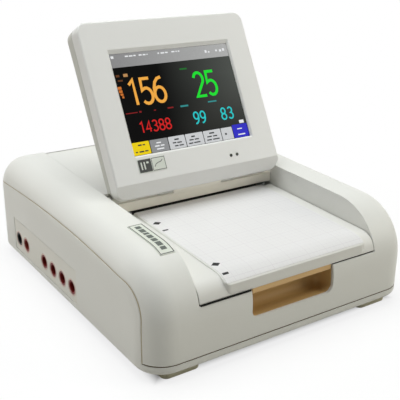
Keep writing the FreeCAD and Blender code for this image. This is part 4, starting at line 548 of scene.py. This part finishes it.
# Painted shade: near-black strips that stand in for the shadow in the gap under the lid's edge
gap_shade_black = moulded("black gap shade", (14, 13, 12), (10, 10, 9), (20, 19, 18),
                     roughness=0.95, grain=2200.0, radius=0.0002)
gap_shades = bmesh.new()
for hand, brink in GAP_SHADE_BRINKS:
    left, right = sorted(hand * end for end in GAP_SHADE_ENDS)
    rounded_tile(gap_shades, left, right, brink, GAP_SHADE_BACK, GAP_SHADE_CORNER,
                 lambda x, y, z: Vector((x, y, z)), GAP_SHADE_FOOT, GAP_SHADE_TOP)
piece("lid_gap_shades", gap_shades, gap_shade_black, "housing")


# Finger recess: a cup behind the opening in the front wall, where fingers reach the grip.
# A separate moulding, welded to the inside of the front wall; its brown is painted shade.
recess_shade_brown = moulded("recess plastic with painted shade", (206, 171, 116), (195, 159, 104), (218, 190, 144),
                       roughness=0.5)
dress(recess_shade_brown, "finger_recess")


# Plate on the left shoulder: a slip of satin plastic stuck in place, bent with the
# shoulder's roll, printed with a thin line round its edge and a row of plain grey bars.
PLATE_LIFT = 0.0005
PRINT_FOOT, PRINT_FACE = -0.0001, 0.00004
LINE_INSET, LINE_WIDTH, LINE_STEPS = 0.0009, 0.0007, 16
BAR_START, BAR_WIDTH, BAR_GAP, BAR_STEPS = 0.0042, 0.0052, 0.0014, 4
BAR_LENGTHS = (0.0050, 0.0064, 0.0036, 0.0060, 0.0054, 0.0066, 0.0042)
MITRE_LIMIT = 0.55
plate_pale = moulded("pale plate", (222, 226, 216), (214, 218, 208), (234, 236, 230),
                     roughness=0.35, radius=0.0004)
ink = moulded("black print", (30, 29, 30), (40, 39, 40), (60, 58, 58), roughness=0.6, radius=0.0002)
grey_ink = moulded("grey print", (92, 98, 92), (104, 110, 104), (120, 126, 120),
                   roughness=0.6, radius=0.0002)
dress(plate_pale, "badge_plate")


def ribbon(mesh, points, width, place, low, high, closed=False):
    """A line of even width along points, with a little thickness, laid where place says."""
    points = [Vector(point) for point in points]
    rows = []
    for index, point in enumerate(points):
        before = points[index - 1] if index or closed else None
        after = points[(index + 1) % len(points)] if index < len(points) - 1 or closed else None
        steps = [(point - before).normalized()] if before else []
        steps += [(after - point).normalized()] if after else []
        heading = sum(steps, Vector((0, 0))).normalized()
        across = Vector((-heading.y, heading.x))
        reach = width / 2 / max(MITRE_LIMIT, across.dot(Vector((-steps[0].y, steps[0].x))))
        left, right = point + across * reach, point - across * reach
        corners = ((left, low), (left, high), (right, high), (right, low))
        rows.append([mesh.verts.new(place(spot.x, spot.y, h)) for spot, h in corners])
    tube(mesh, rows, closed)


def on_plate(x, y, lift):
    """A point on the plate's face: level with the shoulder, then over its front roll."""
    roll = FRONT_ROLL + PLATE_LIFT
    if y > front_middle.x - roll * SLOPE:
        return Vector((x, y, TOP + PLATE_LIFT + y * SLOPE + lift))
    return Vector((x, y, front_middle.y + math.sqrt(roll ** 2 - (y - front_middle.x) ** 2) + lift))


plate_low, plate_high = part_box("badge_plate")
line_start, line_length = plate_low.y + LINE_INSET, plate_high.y - plate_low.y - 2 * LINE_INSET
line_y = [line_start + line_length * step / LINE_STEPS for step in range(LINE_STEPS + 1)]
left_line = [(plate_low.x + LINE_INSET, y) for y in line_y]
right_line = [(plate_high.x - LINE_INSET, y) for y in reversed(line_y)]
border = bmesh.new()
ribbon(border, left_line + right_line, LINE_WIDTH, on_plate, PRINT_FOOT, PRINT_FACE, closed=True)
piece("plate_border", border, ink, "housing")
plate_bars = bmesh.new()
bar_x, bar_y = (plate_low.x + plate_high.x) / 2, plate_high.y - BAR_START
for length in BAR_LENGTHS:
    points = [(bar_x, bar_y - length * step / BAR_STEPS) for step in range(BAR_STEPS + 1)]
    ribbon(plate_bars, points, BAR_WIDTH, on_plate, PRINT_FOOT, PRINT_FACE)
    bar_y -= length + BAR_GAP
piece("plate_marks", plate_bars, grey_ink, "housing")


# Paper drawer: the lid over the paper pack, with a raised platform, the chart paper lying
# over it and a grip below its nose. Pale moulding with a slick face; thermal paper with a
# faint printed grid and black sensing marks; tan grip strip, clipped on.
lid_pale = moulded("pale lid plastic", (228, 228, 224), (223, 222, 217), (236, 236, 232), roughness=0.38)
grip_tan = moulded("tan grip plastic", (226, 190, 136), (216, 178, 124), (236, 208, 166), roughness=0.45)
dress(lid_pale, "paper_table")
dress(grip_tan, "pull_grip")
# Pitch of the lines, each line's share of it, and how strongly it prints
GRID_LINES = ((0.005, 0.035, 0.3), (0.02, 0.014, 0.5))
GRID_START = 1.0


def chart_grid():
    """White thermal paper: a faint lilac grid every 5 mm, firmer every 20 mm, and soft fibres."""
    material, tree, shader = blank("chart paper")
    place = split(tree, own_place(tree))
    printed = 0.0
    for pitch, line_share, strength in GRID_LINES:
        for axis in "XY":
            reach = math_node(tree, "ADD", place[axis], GRID_START)
            share = math_node(tree, "FRACT", math_node(tree, "DIVIDE", reach, pitch))
            line = math_node(tree, "MULTIPLY", math_node(tree, "LESS_THAN", share, line_share), strength)
            printed = math_node(tree, "MAXIMUM", printed, line)
    fibre = use(tree, grain_tree, Grain=1800.0, Cloud=30.0)
    sheet = mixed(tree, fibre.outputs["Cloud"], srgb(229, 228, 228), srgb(225, 224, 224))
    tree.links.new(mixed(tree, printed, sheet, srgb(200, 192, 200)), shader.inputs["Base Color"])
    shader.inputs["Specular IOR Level"].default_value = 0.1
    roughen(tree, shader, fibre.outputs["Height"], None, strength=0.15, distance=0.00004)
    shader.inputs["Roughness"].default_value = 0.62
    return material


dress(chart_grid(), "chart_paper")
PAPER_LEVEL = 0.0842
BROW_MIDDLE, BROW_REACH = Vector((-0.145066, 0.044815)), 0.0343
INK_FOOT, INK_FACE = -0.00005, 0.00003
DIAMOND_X, DIAMOND_PLACES = -0.0635, (-0.044, -0.1395)
DIAMOND_HALF, DIAMOND_TIP, DIAMOND_REACH, DIAMOND_STEPS = 0.0042, 0.0003, 0.0032, 6
DASH_X, DASH_PLACES = -0.0645, (-0.061, -0.155)
DASH_HALF, DASH_END_HALF, DASH_REACH = 0.003, 0.0028, 0.0012


def on_paper(x, y, lift):
    """A point on the chart paper: up the lid's slope, and over the brow at its front."""
    if y > BROW_MIDDLE.x - BROW_REACH * math.sin(TILT):
        return Vector((x, y, PAPER_LEVEL + y * SLOPE + lift))
    return Vector((x, y, BROW_MIDDLE.y + math.sqrt(BROW_REACH ** 2 - (y - BROW_MIDDLE.x) ** 2) + lift))


def printed_patch(name, x, outline):
    """A flat printed mark on the paper, from the half-widths about x along its length."""
    mark, rows = bmesh.new(), []
    for y, half in outline:
        corners = ((x - half, INK_FACE), (x + half, INK_FACE), (x + half, INK_FOOT), (x - half, INK_FOOT))
        rows.append([mark.verts.new(on_paper(side, y, lift)) for side, lift in corners])
    tube(mark, rows)
    piece(name, mark, ink, "paper_drawer")


for number, y in enumerate(DIAMOND_PLACES):
    shares = [step / DIAMOND_STEPS for step in range(-DIAMOND_STEPS, DIAMOND_STEPS + 1)]
    halves = [DIAMOND_HALF * (1 - abs(share)) + DIAMOND_TIP for share in shares]
    outline = [(y + DIAMOND_REACH * share, half) for share, half in zip(shares, halves)]
    printed_patch(f"sensing_diamond_{number}", DIAMOND_X, outline)
for number, y in enumerate(DASH_PLACES):
    outline = [(y - DASH_REACH, DASH_END_HALF), (y, DASH_HALF), (y + DASH_REACH, DASH_END_HALF)]
    printed_patch(f"sensing_dash_{number}", DASH_X, outline)


# Hinge bar: the cross bar over the paper slot, with the hinge block and its pin.
# A warm moulding, lightened as painted light where the display shades it, wedged between the bay walls; steel pin
# through block and lugs.
bar_painted_light = moulded("bar plastic lightened as painted light", (250, 246, 234), (246, 241, 228), (251, 249, 242), roughness=0.5)
dress(bar_painted_light, "hinge_bar", "hinge_block")
dress(zinc, "hinge_pin")


# Display head: a bezel and a rear cover screwed together, tilting on two lugs.
# Cream mouldings; two dark lens buttons in the bezel and, below the screen, a stuck-on
# label with a dark field, a framed field and plain marks in both.
bezel_cream = moulded("cream bezel plastic", (235, 235, 234), (230, 230, 228), (241, 241, 240),
                      roughness=0.38)
cover_cream = moulded("cream cover plastic", (206, 206, 200), (200, 200, 193), (216, 216, 211))
lens_dark = moulded("smoked lens", (26, 28, 26), (20, 21, 20), (52, 54, 50), roughness=0.15, radius=0.0003)
label_pale = moulded("pale label", (222, 226, 218), (214, 218, 210), (232, 236, 230),
                     roughness=0.4, radius=0.0003)
label_dark = moulded("dark label field", (74, 76, 74), (66, 68, 66), (96, 98, 96),
                     roughness=0.45, radius=0.0002)
dress(bezel_cream, "display_bezel")
dress(cover_cream, "display_rear_cover")
dress(zinc, "display_screws", "display_spacers")
dress(lens_dark, "indicator_lenses")
dress(label_pale, "label_plate")
hinge = Vector(next(joint for joint in frame["joints"] if joint["name"] == "display_tilt")["pos_m"])
HEAD_LEAN = math.radians(62.26)
MM = 1000
SCREEN_ABOVE_HINGE = 80
BEZEL_OUT, GLASS_OUT = 19.4, 16.5
FOOT, FACE, RAISED = -0.05, 0.06, 0.1


def on_head(out):
    """Gives places in millimetres across and above the screen's middle, at a level out of the hinge axis."""
    def place(across, above, lift):
        up, away = (above + SCREEN_ABOVE_HINGE) / MM, (out + lift) / MM
        return Vector((across / MM, hinge.y + up * math.cos(HEAD_LEAN) - away * math.sin(HEAD_LEAN),
                       hinge.z + up * math.sin(HEAD_LEAN) + away * math.cos(HEAD_LEAN)))
    return place


on_bezel = on_head(BEZEL_OUT)
DARK_FIELD, FIELD_CORNER = (-67.0, -53.4, -66.1, -53.9), 0.5
FRAMED_FIELD, FRAME_WIDTH = [(-52.6, -65.8), (-38.6, -65.8), (-38.6, -54.2), (-52.6, -54.2)], 0.5
FIELD_MARKS = ((-64.6, -63.2, -63.6, -56.4), (-61.4, -60.0, -63.6, -56.4), (-58.4, -56.0, -58.2, -56.4))
MARK_CORNER = 0.3
FIELD_SWEEP = [(-50.4, -62.6), (-48.6, -60.2), (-46.0, -59.0), (-43.4, -58.6), (-41.0, -56.8)]
SWEEP_WIDTH = 0.6
field = bmesh.new()
rounded_tile(field, *DARK_FIELD, FIELD_CORNER, on_bezel, FOOT, FACE)
piece("label_field", field, label_dark, "display")
frame_line = bmesh.new()
ribbon(frame_line, FRAMED_FIELD, FRAME_WIDTH, on_bezel, FOOT, FACE, closed=True)
piece("label_outline", frame_line, label_dark, "display")
marks = bmesh.new()
for span in FIELD_MARKS:
    rounded_tile(marks, *span, MARK_CORNER, on_bezel, FOOT, RAISED)
piece("label_marks", marks, label_pale, "display")
sweep = bmesh.new()
ribbon(sweep, FIELD_SWEEP, SWEEP_WIDTH, on_bezel, FOOT, FACE)
piece("label_sweep", sweep, label_dark, "display")


# Screen: a touch glass over the panel, lit from behind. Smooth black glass with a painted
# reflection, a soft sheen glowing to the right; the picture's bars, keys and numbers are lit layers on it.
PICTURE_HALF = 0.068
GLASS_SPECULAR = 0.03
PAINTED_SHEEN_ACROSS, PAINTED_SHEEN_UP = (-0.02, 0.076), (0.132, 0.2)
SMEAR_SPREAD, GLASS_ROUGHNESS = 0.08, 0.08
pixel_tree, pixel_in, pixel_out = new_group(
    "screen pixels", (("Scale", 1500.0), ("Depth", 0.3)), (("Gap", "NodeSocketFloat"),))
speckle = add(pixel_tree, "ShaderNodeTexNoise", values={"Detail": 1.0},
              links={"Vector": own_place(pixel_tree), "Scale": pixel_in.outputs["Scale"]})
gap = math_node(pixel_tree, "MULTIPLY", speckle.outputs["Fac"], pixel_in.outputs["Depth"])
pixel_tree.links.new(gap, pixel_out.inputs["Gap"])


def glow(tree, shader, colour, base):
    """Light from behind in a colour, or on the bare glass a painted reflection, under glass that hardly mirrors.
    """
    tree.links.new(colour, shader.inputs["Emission Color"])
    shader.inputs["Emission Strength"].default_value = 1.0
    shader.inputs["Base Color"].default_value = base
    shader.inputs["Specular IOR Level"].default_value = GLASS_SPECULAR


def lit(name, colour, right_colour=None):
    """A lit part of the picture behind the glass, even or shading over to its right end."""
    material, tree, shader = blank(name)
    light = srgb(*colour)
    if right_colour:
        across = split(tree, own_place(tree))["X"]
        light = mixed(tree, ramp(tree, across, -PICTURE_HALF, PICTURE_HALF), light, srgb(*right_colour))
    dim = mixed(tree, use(tree, pixel_tree).outputs["Gap"], light, srgb(0, 0, 0))
    glow(tree, shader, dim, srgb(12, 12, 12))
    shader.inputs["Roughness"].default_value = 0.25
    return material


def screen_glass():
    """Black glass with a painted reflection glowing softly towards its upper right, and faint smears in its gloss.
    """
    material, tree, shader = blank("touch glass")
    spot = own_place(tree)
    place = split(tree, spot)
    rightward, upper = ramp(tree, place["X"], *PAINTED_SHEEN_ACROSS), ramp(tree, place["Z"], *PAINTED_SHEEN_UP)
    painted_sheen = math_node(tree, "MULTIPLY", rightward, upper)
    # Painted reflection: a soft glow towards the upper right, not light from the panel
    glow(tree, shader, mixed(tree, painted_sheen, srgb(4, 4, 4), srgb(78, 82, 78)), srgb(10, 10, 10))
    smear = add(tree, "ShaderNodeTexNoise", values={"Scale": 34.0, "Detail": 4.0}, links={"Vector": spot})
    gloss = math_node(tree, "MULTIPLY_ADD", smear.outputs["Fac"], SMEAR_SPREAD, GLASS_ROUGHNESS)
    tree.links.new(gloss, shader.inputs["Roughness"])
    return material


dress(screen_glass(), "touch_screen")
dress(inlet_black, "lcd_panel")
on_glass = on_head(GLASS_OUT)
PRINT = 0.09
TILE_CORNER, CORNER_ROOM = 0.3, 2.2
lit_bar = lit("lit bar grey", (146, 146, 147), (186, 187, 186))
lit_white = lit("lit white", (246, 248, 250))
lit_dark = lit("lit dark print", (58, 60, 62))
lit_yellow = lit("lit yellow", (250, 220, 20))
lit_blue = lit("lit blue", (48, 46, 204))
lit_mid = lit("lit mid grey", (152, 154, 156))
lit_pale = lit("lit pale grey", (216, 218, 220))
lit_orange = lit("lit orange", (255, 180, 74))
lit_green = lit("lit green", (24, 238, 52))
lit_red = lit("lit red", (220, 34, 34))
lit_cyan = lit("lit cyan", (40, 212, 214))
lit_tan = lit("lit tan", (196, 146, 92))
lit_umber = lit("lit umber", (104, 62, 34))
lit_amber = lit("lit amber", (214, 122, 50))
lit_leaf = lit("lit leaf green", (34, 116, 48))
lit_brick = lit("lit brick red", (140, 30, 32))
lit_teal = lit("lit teal", (52, 150, 150))


def bars(name, material, spans, corner=TILE_CORNER, foot=FOOT, face=FACE):
    """Several like tiles of the picture as one piece; each span is left, right, low, high."""
    mesh = bmesh.new()
    for left, right, low, high in spans:
        fitted = min(corner, (high - low) / CORNER_ROOM, (right - left) / CORNER_ROOM)
        rounded_tile(mesh, left, right, low, high, fitted, on_glass, foot, face)
    piece(name, mesh, material, "display")


bars("status_bar", lit_bar, [(-67.3, 67.3, 36.4, 49.6)], corner=0.1)
bars("status_marks", lit_white, [
    (-66, -63, 45.4, 47.8), (-51, -47.4, 45.9, 47.2), (-46.6, -42.6, 45.8, 47.1), (-41.8, -39.2, 45.9, 47.2),
    (-36, -32.6, 45.9, 47.2), (-31.6, -28.4, 45.8, 47.1), (-27.4, -26, 46, 47), (-15, -13.2, 45.8, 47.2),
    (-11.6, -7.4, 45.7, 47.1), (-6.4, -3.4, 45.8, 47.1), (0.8, 4.4, 45.9, 47.2), (5.6, 7.2, 46, 47.2),
    (8.2, 10.2, 45.9, 47.2), (39.4, 41.8, 42.2, 44.8), (43.2, 45.2, 42, 43.4), (52.4, 54.4, 42.4, 44.4),
    (57, 59.6, 41.8, 44.2), (61, 63.6, 42.4, 45)], foot=FACE, face=PRINT)
KEY_LOW, KEY_HIGH, BLUE_KEY_HIGH, KEY_CORNER = -49.0, -36.7, -35.4, 0.8
for name, material, high, sides in (
        ("key_yellow", lit_yellow, KEY_HIGH, [(-67.0, -48.8)]),
        ("key_mid", lit_mid, KEY_HIGH, [(-48.0, -28.4)]),
        ("keys_pale", lit_pale, KEY_HIGH, [(-27.6, -9.0), (-8.2, 12.0), (12.8, 33.4), (34.2, 47.6)]),
        ("key_blue", lit_blue, BLUE_KEY_HIGH, [(48.4, 67.0)])):
    bars(name, material, [(left, right, KEY_LOW, high) for left, right in sides], corner=KEY_CORNER)
bars("key_marks", lit_dark, [
    (-61, -57, -40.4, -39.0), (-56, -53.4, -40.4, -39.2), (-65, -62.6, -46.6, -45.4),
    (-61, -56, -46.8, -45.4), (-55, -51.4, -46.6, -45.4), (-21, -16, -40.6, -39.2),
    (-23.6, -19.6, -43.6, -42.4), (-18.6, -13.4, -43.8, -42.6), (-22, -18, -46.8, -45.6),
    (-17, -12, -46.8, -45.6), (-1.6, 2.6, -40.6, -39.2), (-4.6, 0.4, -43.6, -42.4),
    (1.6, 6.4, -43.6, -42.4), (-6, -1, -46.9, -45.7), (0, 7.4, -46.8, -45.6),
    (19.6, 25.6, -40.4, -39.0), (16.4, 22, -43.6, -42.4), (23.4, 28.4, -43.6, -42.4),
    (15.4, 21, -46.8, -45.6), (22.4, 30.4, -46.8, -45.6), (38.0, 40.2, -44.2, -42.2)], foot=FACE, face=PRINT)
bars("key_lights", lit_white, [
    (-41, -36, -40.8, -39.6), (-43.4, -38.4, -43.8, -42.6), (-37.2, -33, -43.8, -42.6),
    (-42, -34, -46.8, -45.6), (54, 60, -40.6, -39.6), (53.6, 62.4, -46.6, -45.4)], foot=FACE, face=PRINT)
bars("status_lamp", lit_white, [(58.8, 64.4, -34.6, -31.4)])
bars("marks_tan", lit_tan, [(-57.6, -53.0, 26.8, 29.8)])
bars("marks_umber", lit_umber, [(-65.6, -61.8, 27.2, 29.4), (-64.6, -59.4, 22.8, 24.4)])
bars("gauge_amber", lit_amber, [
    (-66.8, -62.8, 15.2, 18.0), (-66.2, -62.6, 12.0, 14.6),
    (-65.4, -62.4, 9.2, 11.4), (-64.2, -62.2, 6.6, 8.6)])
bars("marks_green", lit_leaf, [(5.0, 13.4, 27.4, 29.0)])
bars("marks_red", lit_brick, [
    (-65.0, -52.4, -8.9, -8.0), (-50.6, -48.2, -9.2, -7.4),
    (-34.8, -32.4, -9.2, -8.2), (-19.4, -12.8, -9.2, -7.8)])
bars("marks_teal", lit_teal, [(-4.8, 4.2, -9.6, -7.9), (27.8, 38.2, -8.9, -7.5)])


def arc(cx, cy, rx, ry, start, stop, steps=12):
    """Points on an oval arc, in degrees."""
    angles = [math.radians(start + (stop - start) * step / steps) for step in range(steps + 1)]
    return [(cx + rx * math.cos(angle), cy + ry * math.sin(angle)) for angle in angles]


def loop(cx, cy, rx, ry):
    """A whole oval, which ends where it starts."""
    return arc(cx, cy, rx, ry, 0, 360, steps=20)


# A numeral's strokes in a box one wide and two high; a stroke that ends where it starts is a loop
NUMERALS = {
    "1": [[(0.22, 1.62), (0.62, 2.0), (0.62, 0.0)]],
    "2": [arc(0.5, 1.45, 0.46, 0.55, 165, -28) + [(0.04, 0.0), (1.0, 0.0)]],
    "3": [arc(0.46, 1.52, 0.42, 0.48, 150, -90) + arc(0.46, 0.53, 0.48, 0.53, 90, -150)[1:]],
    "4": [[(0.74, 0.0), (0.74, 2.0), (0.02, 0.58), (1.0, 0.58)]],
    "5": [[(0.92, 2.0), (0.16, 2.0), (0.1, 1.08)] + arc(0.46, 0.62, 0.5, 0.62, 118, -140)],
    "6": [[(0.86, 1.98), (0.52, 1.9), (0.24, 1.62), (0.07, 1.16), (0.02, 0.66)], loop(0.5, 0.6, 0.48, 0.6)],
    "8": [loop(0.5, 1.5, 0.42, 0.5), loop(0.5, 0.5, 0.48, 0.5)],
    "9": [[(0.14, 0.02), (0.48, 0.1), (0.76, 0.38), (0.93, 0.84), (0.98, 1.34)], loop(0.5, 1.4, 0.48, 0.6)],
}
CLOSED_WITHIN = 0.01


def reading(name, numerals, material, left, low, wide, high, pitch, weight):
    """A row of numerals as one lit piece."""
    mesh = bmesh.new()
    for place, numeral in enumerate(numerals):
        start = left + place * pitch
        for line in NUMERALS[numeral]:
            points = [(start + x * wide, low + y * high / 2) for x, y in line]
            closed = (Vector(points[0]) - Vector(points[-1])).length < CLOSED_WITHIN
            ribbon(mesh, points[:-1] if closed else points, weight, on_glass, FOOT, FACE, closed=closed)
    piece(name, mesh, material, "display")


# Numerals and colour, then left, low, width, height, pitch and stroke weight in millimetres
for row in (
        ("reading_rate", "156", lit_orange, -57.2, -1.4, 12.0, 24.6, 14.0, 3.0),
        ("reading_toco", "25", lit_green, 17.6, -1.4, 11.4, 24.2, 14.2, 2.9),
        ("reading_pressure", "14388", lit_red, -54.6, -28.6, 5.6, 10.4, 7.2, 1.4),
        ("reading_oxygen", "99", lit_cyan, 7.2, -28.2, 5.6, 11.6, 7.7, 1.5),
        ("reading_pulse", "83", lit_cyan, 39.8, -28.2, 5.8, 11.6, 8.4, 1.5)):
    reading(*row)


# Studio: a white floor that keeps the shadow near the monitor, soft lamps and the camera.
# The floor turns to plain white away from the object.
FLOOR_HALF = 6.0
SHADOW_FADE = (0.24, 0.42)
UNDER_FADE = (-0.022, -0.006)
BOUNCE_FADE = (0.09, 0.01)
BOUNCE_FAR, BOUNCE_NEAR = (0.72, 0.7, 0.65, 1), (0.55, 0.535, 0.49, 1)
FLOOR_SEEN, FLOOR_TOP_UP = (0.2, 0.198, 0.19, 1), (0.8, 0.803, 0.812, 1)
SKY_LIGHT, WHITE = (0.06, 0.059, 0.056, 1), (1, 1, 1, 1)


def seen_by_eye(tree):
    """One for rays that the eye sees by, straight, mirrored or through glass, and none for the rest."""
    ray = add(tree, "ShaderNodeLightPath").outputs
    seen = math_node(tree, "MAXIMUM", ray["Is Camera Ray"], ray["Is Glossy Ray"])
    return math_node(tree, "MAXIMUM", seen, ray["Is Transmission Ray"])


def studio_floor():
    """Warm grey to the light, topped up to white for the eye, except close under the monitor."""
    material, tree, shader = blank("white floor")
    place = add(tree, "ShaderNodeNewGeometry").outputs["Position"]
    spot = split(tree, place)
    reach = add(tree, "ShaderNodeVectorMath", operation="LENGTH", links={0: place}).outputs["Value"]
    sides = [math_node(tree, "SUBTRACT", math_node(tree, "ABSOLUTE", spot[axis]), half)
             for axis, half in (("X", cad_box[1][0]), ("Y", cad_box[1][1]))]
    outside = math_node(tree, "MAXIMUM", *sides)
    far = ramp(tree, reach, *SHADOW_FADE, interpolation_type="SMOOTHSTEP")
    clear = ramp(tree, outside, *UNDER_FADE, interpolation_type="SMOOTHSTEP")
    near = ramp(tree, outside, *BOUNCE_FADE, interpolation_type="SMOOTHSTEP")
    seen = seen_by_eye(tree)
    bounce = mixed(tree, near, BOUNCE_FAR, BOUNCE_NEAR)
    tree.links.new(mixed(tree, seen, bounce, FLOOR_SEEN), shader.inputs["Base Color"])
    shader.inputs["Roughness"].default_value = 1.0
    shader.inputs["Specular IOR Level"].default_value = 0.0
    shader.inputs["Emission Color"].default_value = FLOOR_TOP_UP
    tree.links.new(math_node(tree, "MULTIPLY", seen, clear), shader.inputs["Emission Strength"])
    white = add(tree, "ShaderNodeEmission", values={"Color": WHITE, "Strength": 1.0})
    blend = add(tree, "ShaderNodeMixShader", links={0: math_node(tree, "MULTIPLY", far, seen),
                                                    1: shader.outputs["BSDF"], 2: white.outputs["Emission"]})
    tree.links.new(blend.outputs["Shader"], tree.nodes["Material Output"].inputs["Surface"])
    return material


ground = bmesh.new()
bmesh.ops.create_grid(ground, x_segments=8, y_segments=8, size=FLOOR_HALF)
floor_mesh = bpy.data.meshes.new("floor")
ground.to_mesh(floor_mesh)
ground.free()
floor_mesh.materials.append(studio_floor())
floor = bpy.data.objects.new("floor", floor_mesh)
scene = bpy.context.scene
scene.collection.objects.link(floor)

scene.view_settings.view_transform = "Standard"
world = bpy.data.worlds.new("studio")
scene.world = world
world.use_nodes = True
sky = world.node_tree
sky.links.new(mixed(sky, seen_by_eye(sky), SKY_LIGHT, WHITE), sky.nodes["Background"].inputs["Color"])


def softbox(name, place, target, width, power, colour):
    """A square lamp at a place, turned to a target."""
    lamp = bpy.data.lights.new(name, "AREA")
    lamp.shape, lamp.size, lamp.energy, lamp.color = "SQUARE", width, power, colour
    item = bpy.data.objects.new(name, lamp)
    item.location = place
    item.rotation_euler = (Vector(target) - Vector(place)).to_track_quat("-Z", "Y").to_euler()
    scene.collection.objects.link(item)


softbox("overhead", (-0.12, 0.08, 1.5), (0, 0, 0.1), width=1.4, power=22.6, colour=(0.97, 1.0, 1.0))
softbox("left", (-1.3, 0.95, 0.75), (0, 0, 0.08), width=0.9, power=5.8, colour=(1.0, 0.95, 0.88))
softbox("right_front", (1.4, -1.1, 0.8), (0, 0, 0.1), width=0.9, power=11.3, colour=(1.0, 0.97, 0.86))

CAMERA_PLACE, CAMERA_ROLL = (-0.3818, -0.5917, 0.3438), math.radians(0.46)
FOCAL_PIXELS, PICTURE_PIXELS, SENSOR_MM = 738.8, 400, 36.0
back = Vector((-0.5201, -0.7782, 0.3520)).normalized()
right = Vector((0.8314, -0.5557, 0.0)).normalized()
upward = back.cross(right)
across = math.cos(CAMERA_ROLL) * right + math.sin(CAMERA_ROLL) * upward
upright = -math.sin(CAMERA_ROLL) * right + math.cos(CAMERA_ROLL) * upward
lens = bpy.data.cameras.new("camera")
lens.sensor_fit, lens.sensor_width = "HORIZONTAL", SENSOR_MM
lens.lens = FOCAL_PIXELS / PICTURE_PIXELS * SENSOR_MM
lens.clip_start, lens.clip_end = 0.01, 60.0
camera = bpy.data.objects.new("camera", lens)
camera.matrix_world = Matrix((across, upright, back)).transposed().to_4x4()
camera.location = CAMERA_PLACE
scene.collection.objects.link(camera)
scene.camera = camera

bpy.context.view_layer.update()
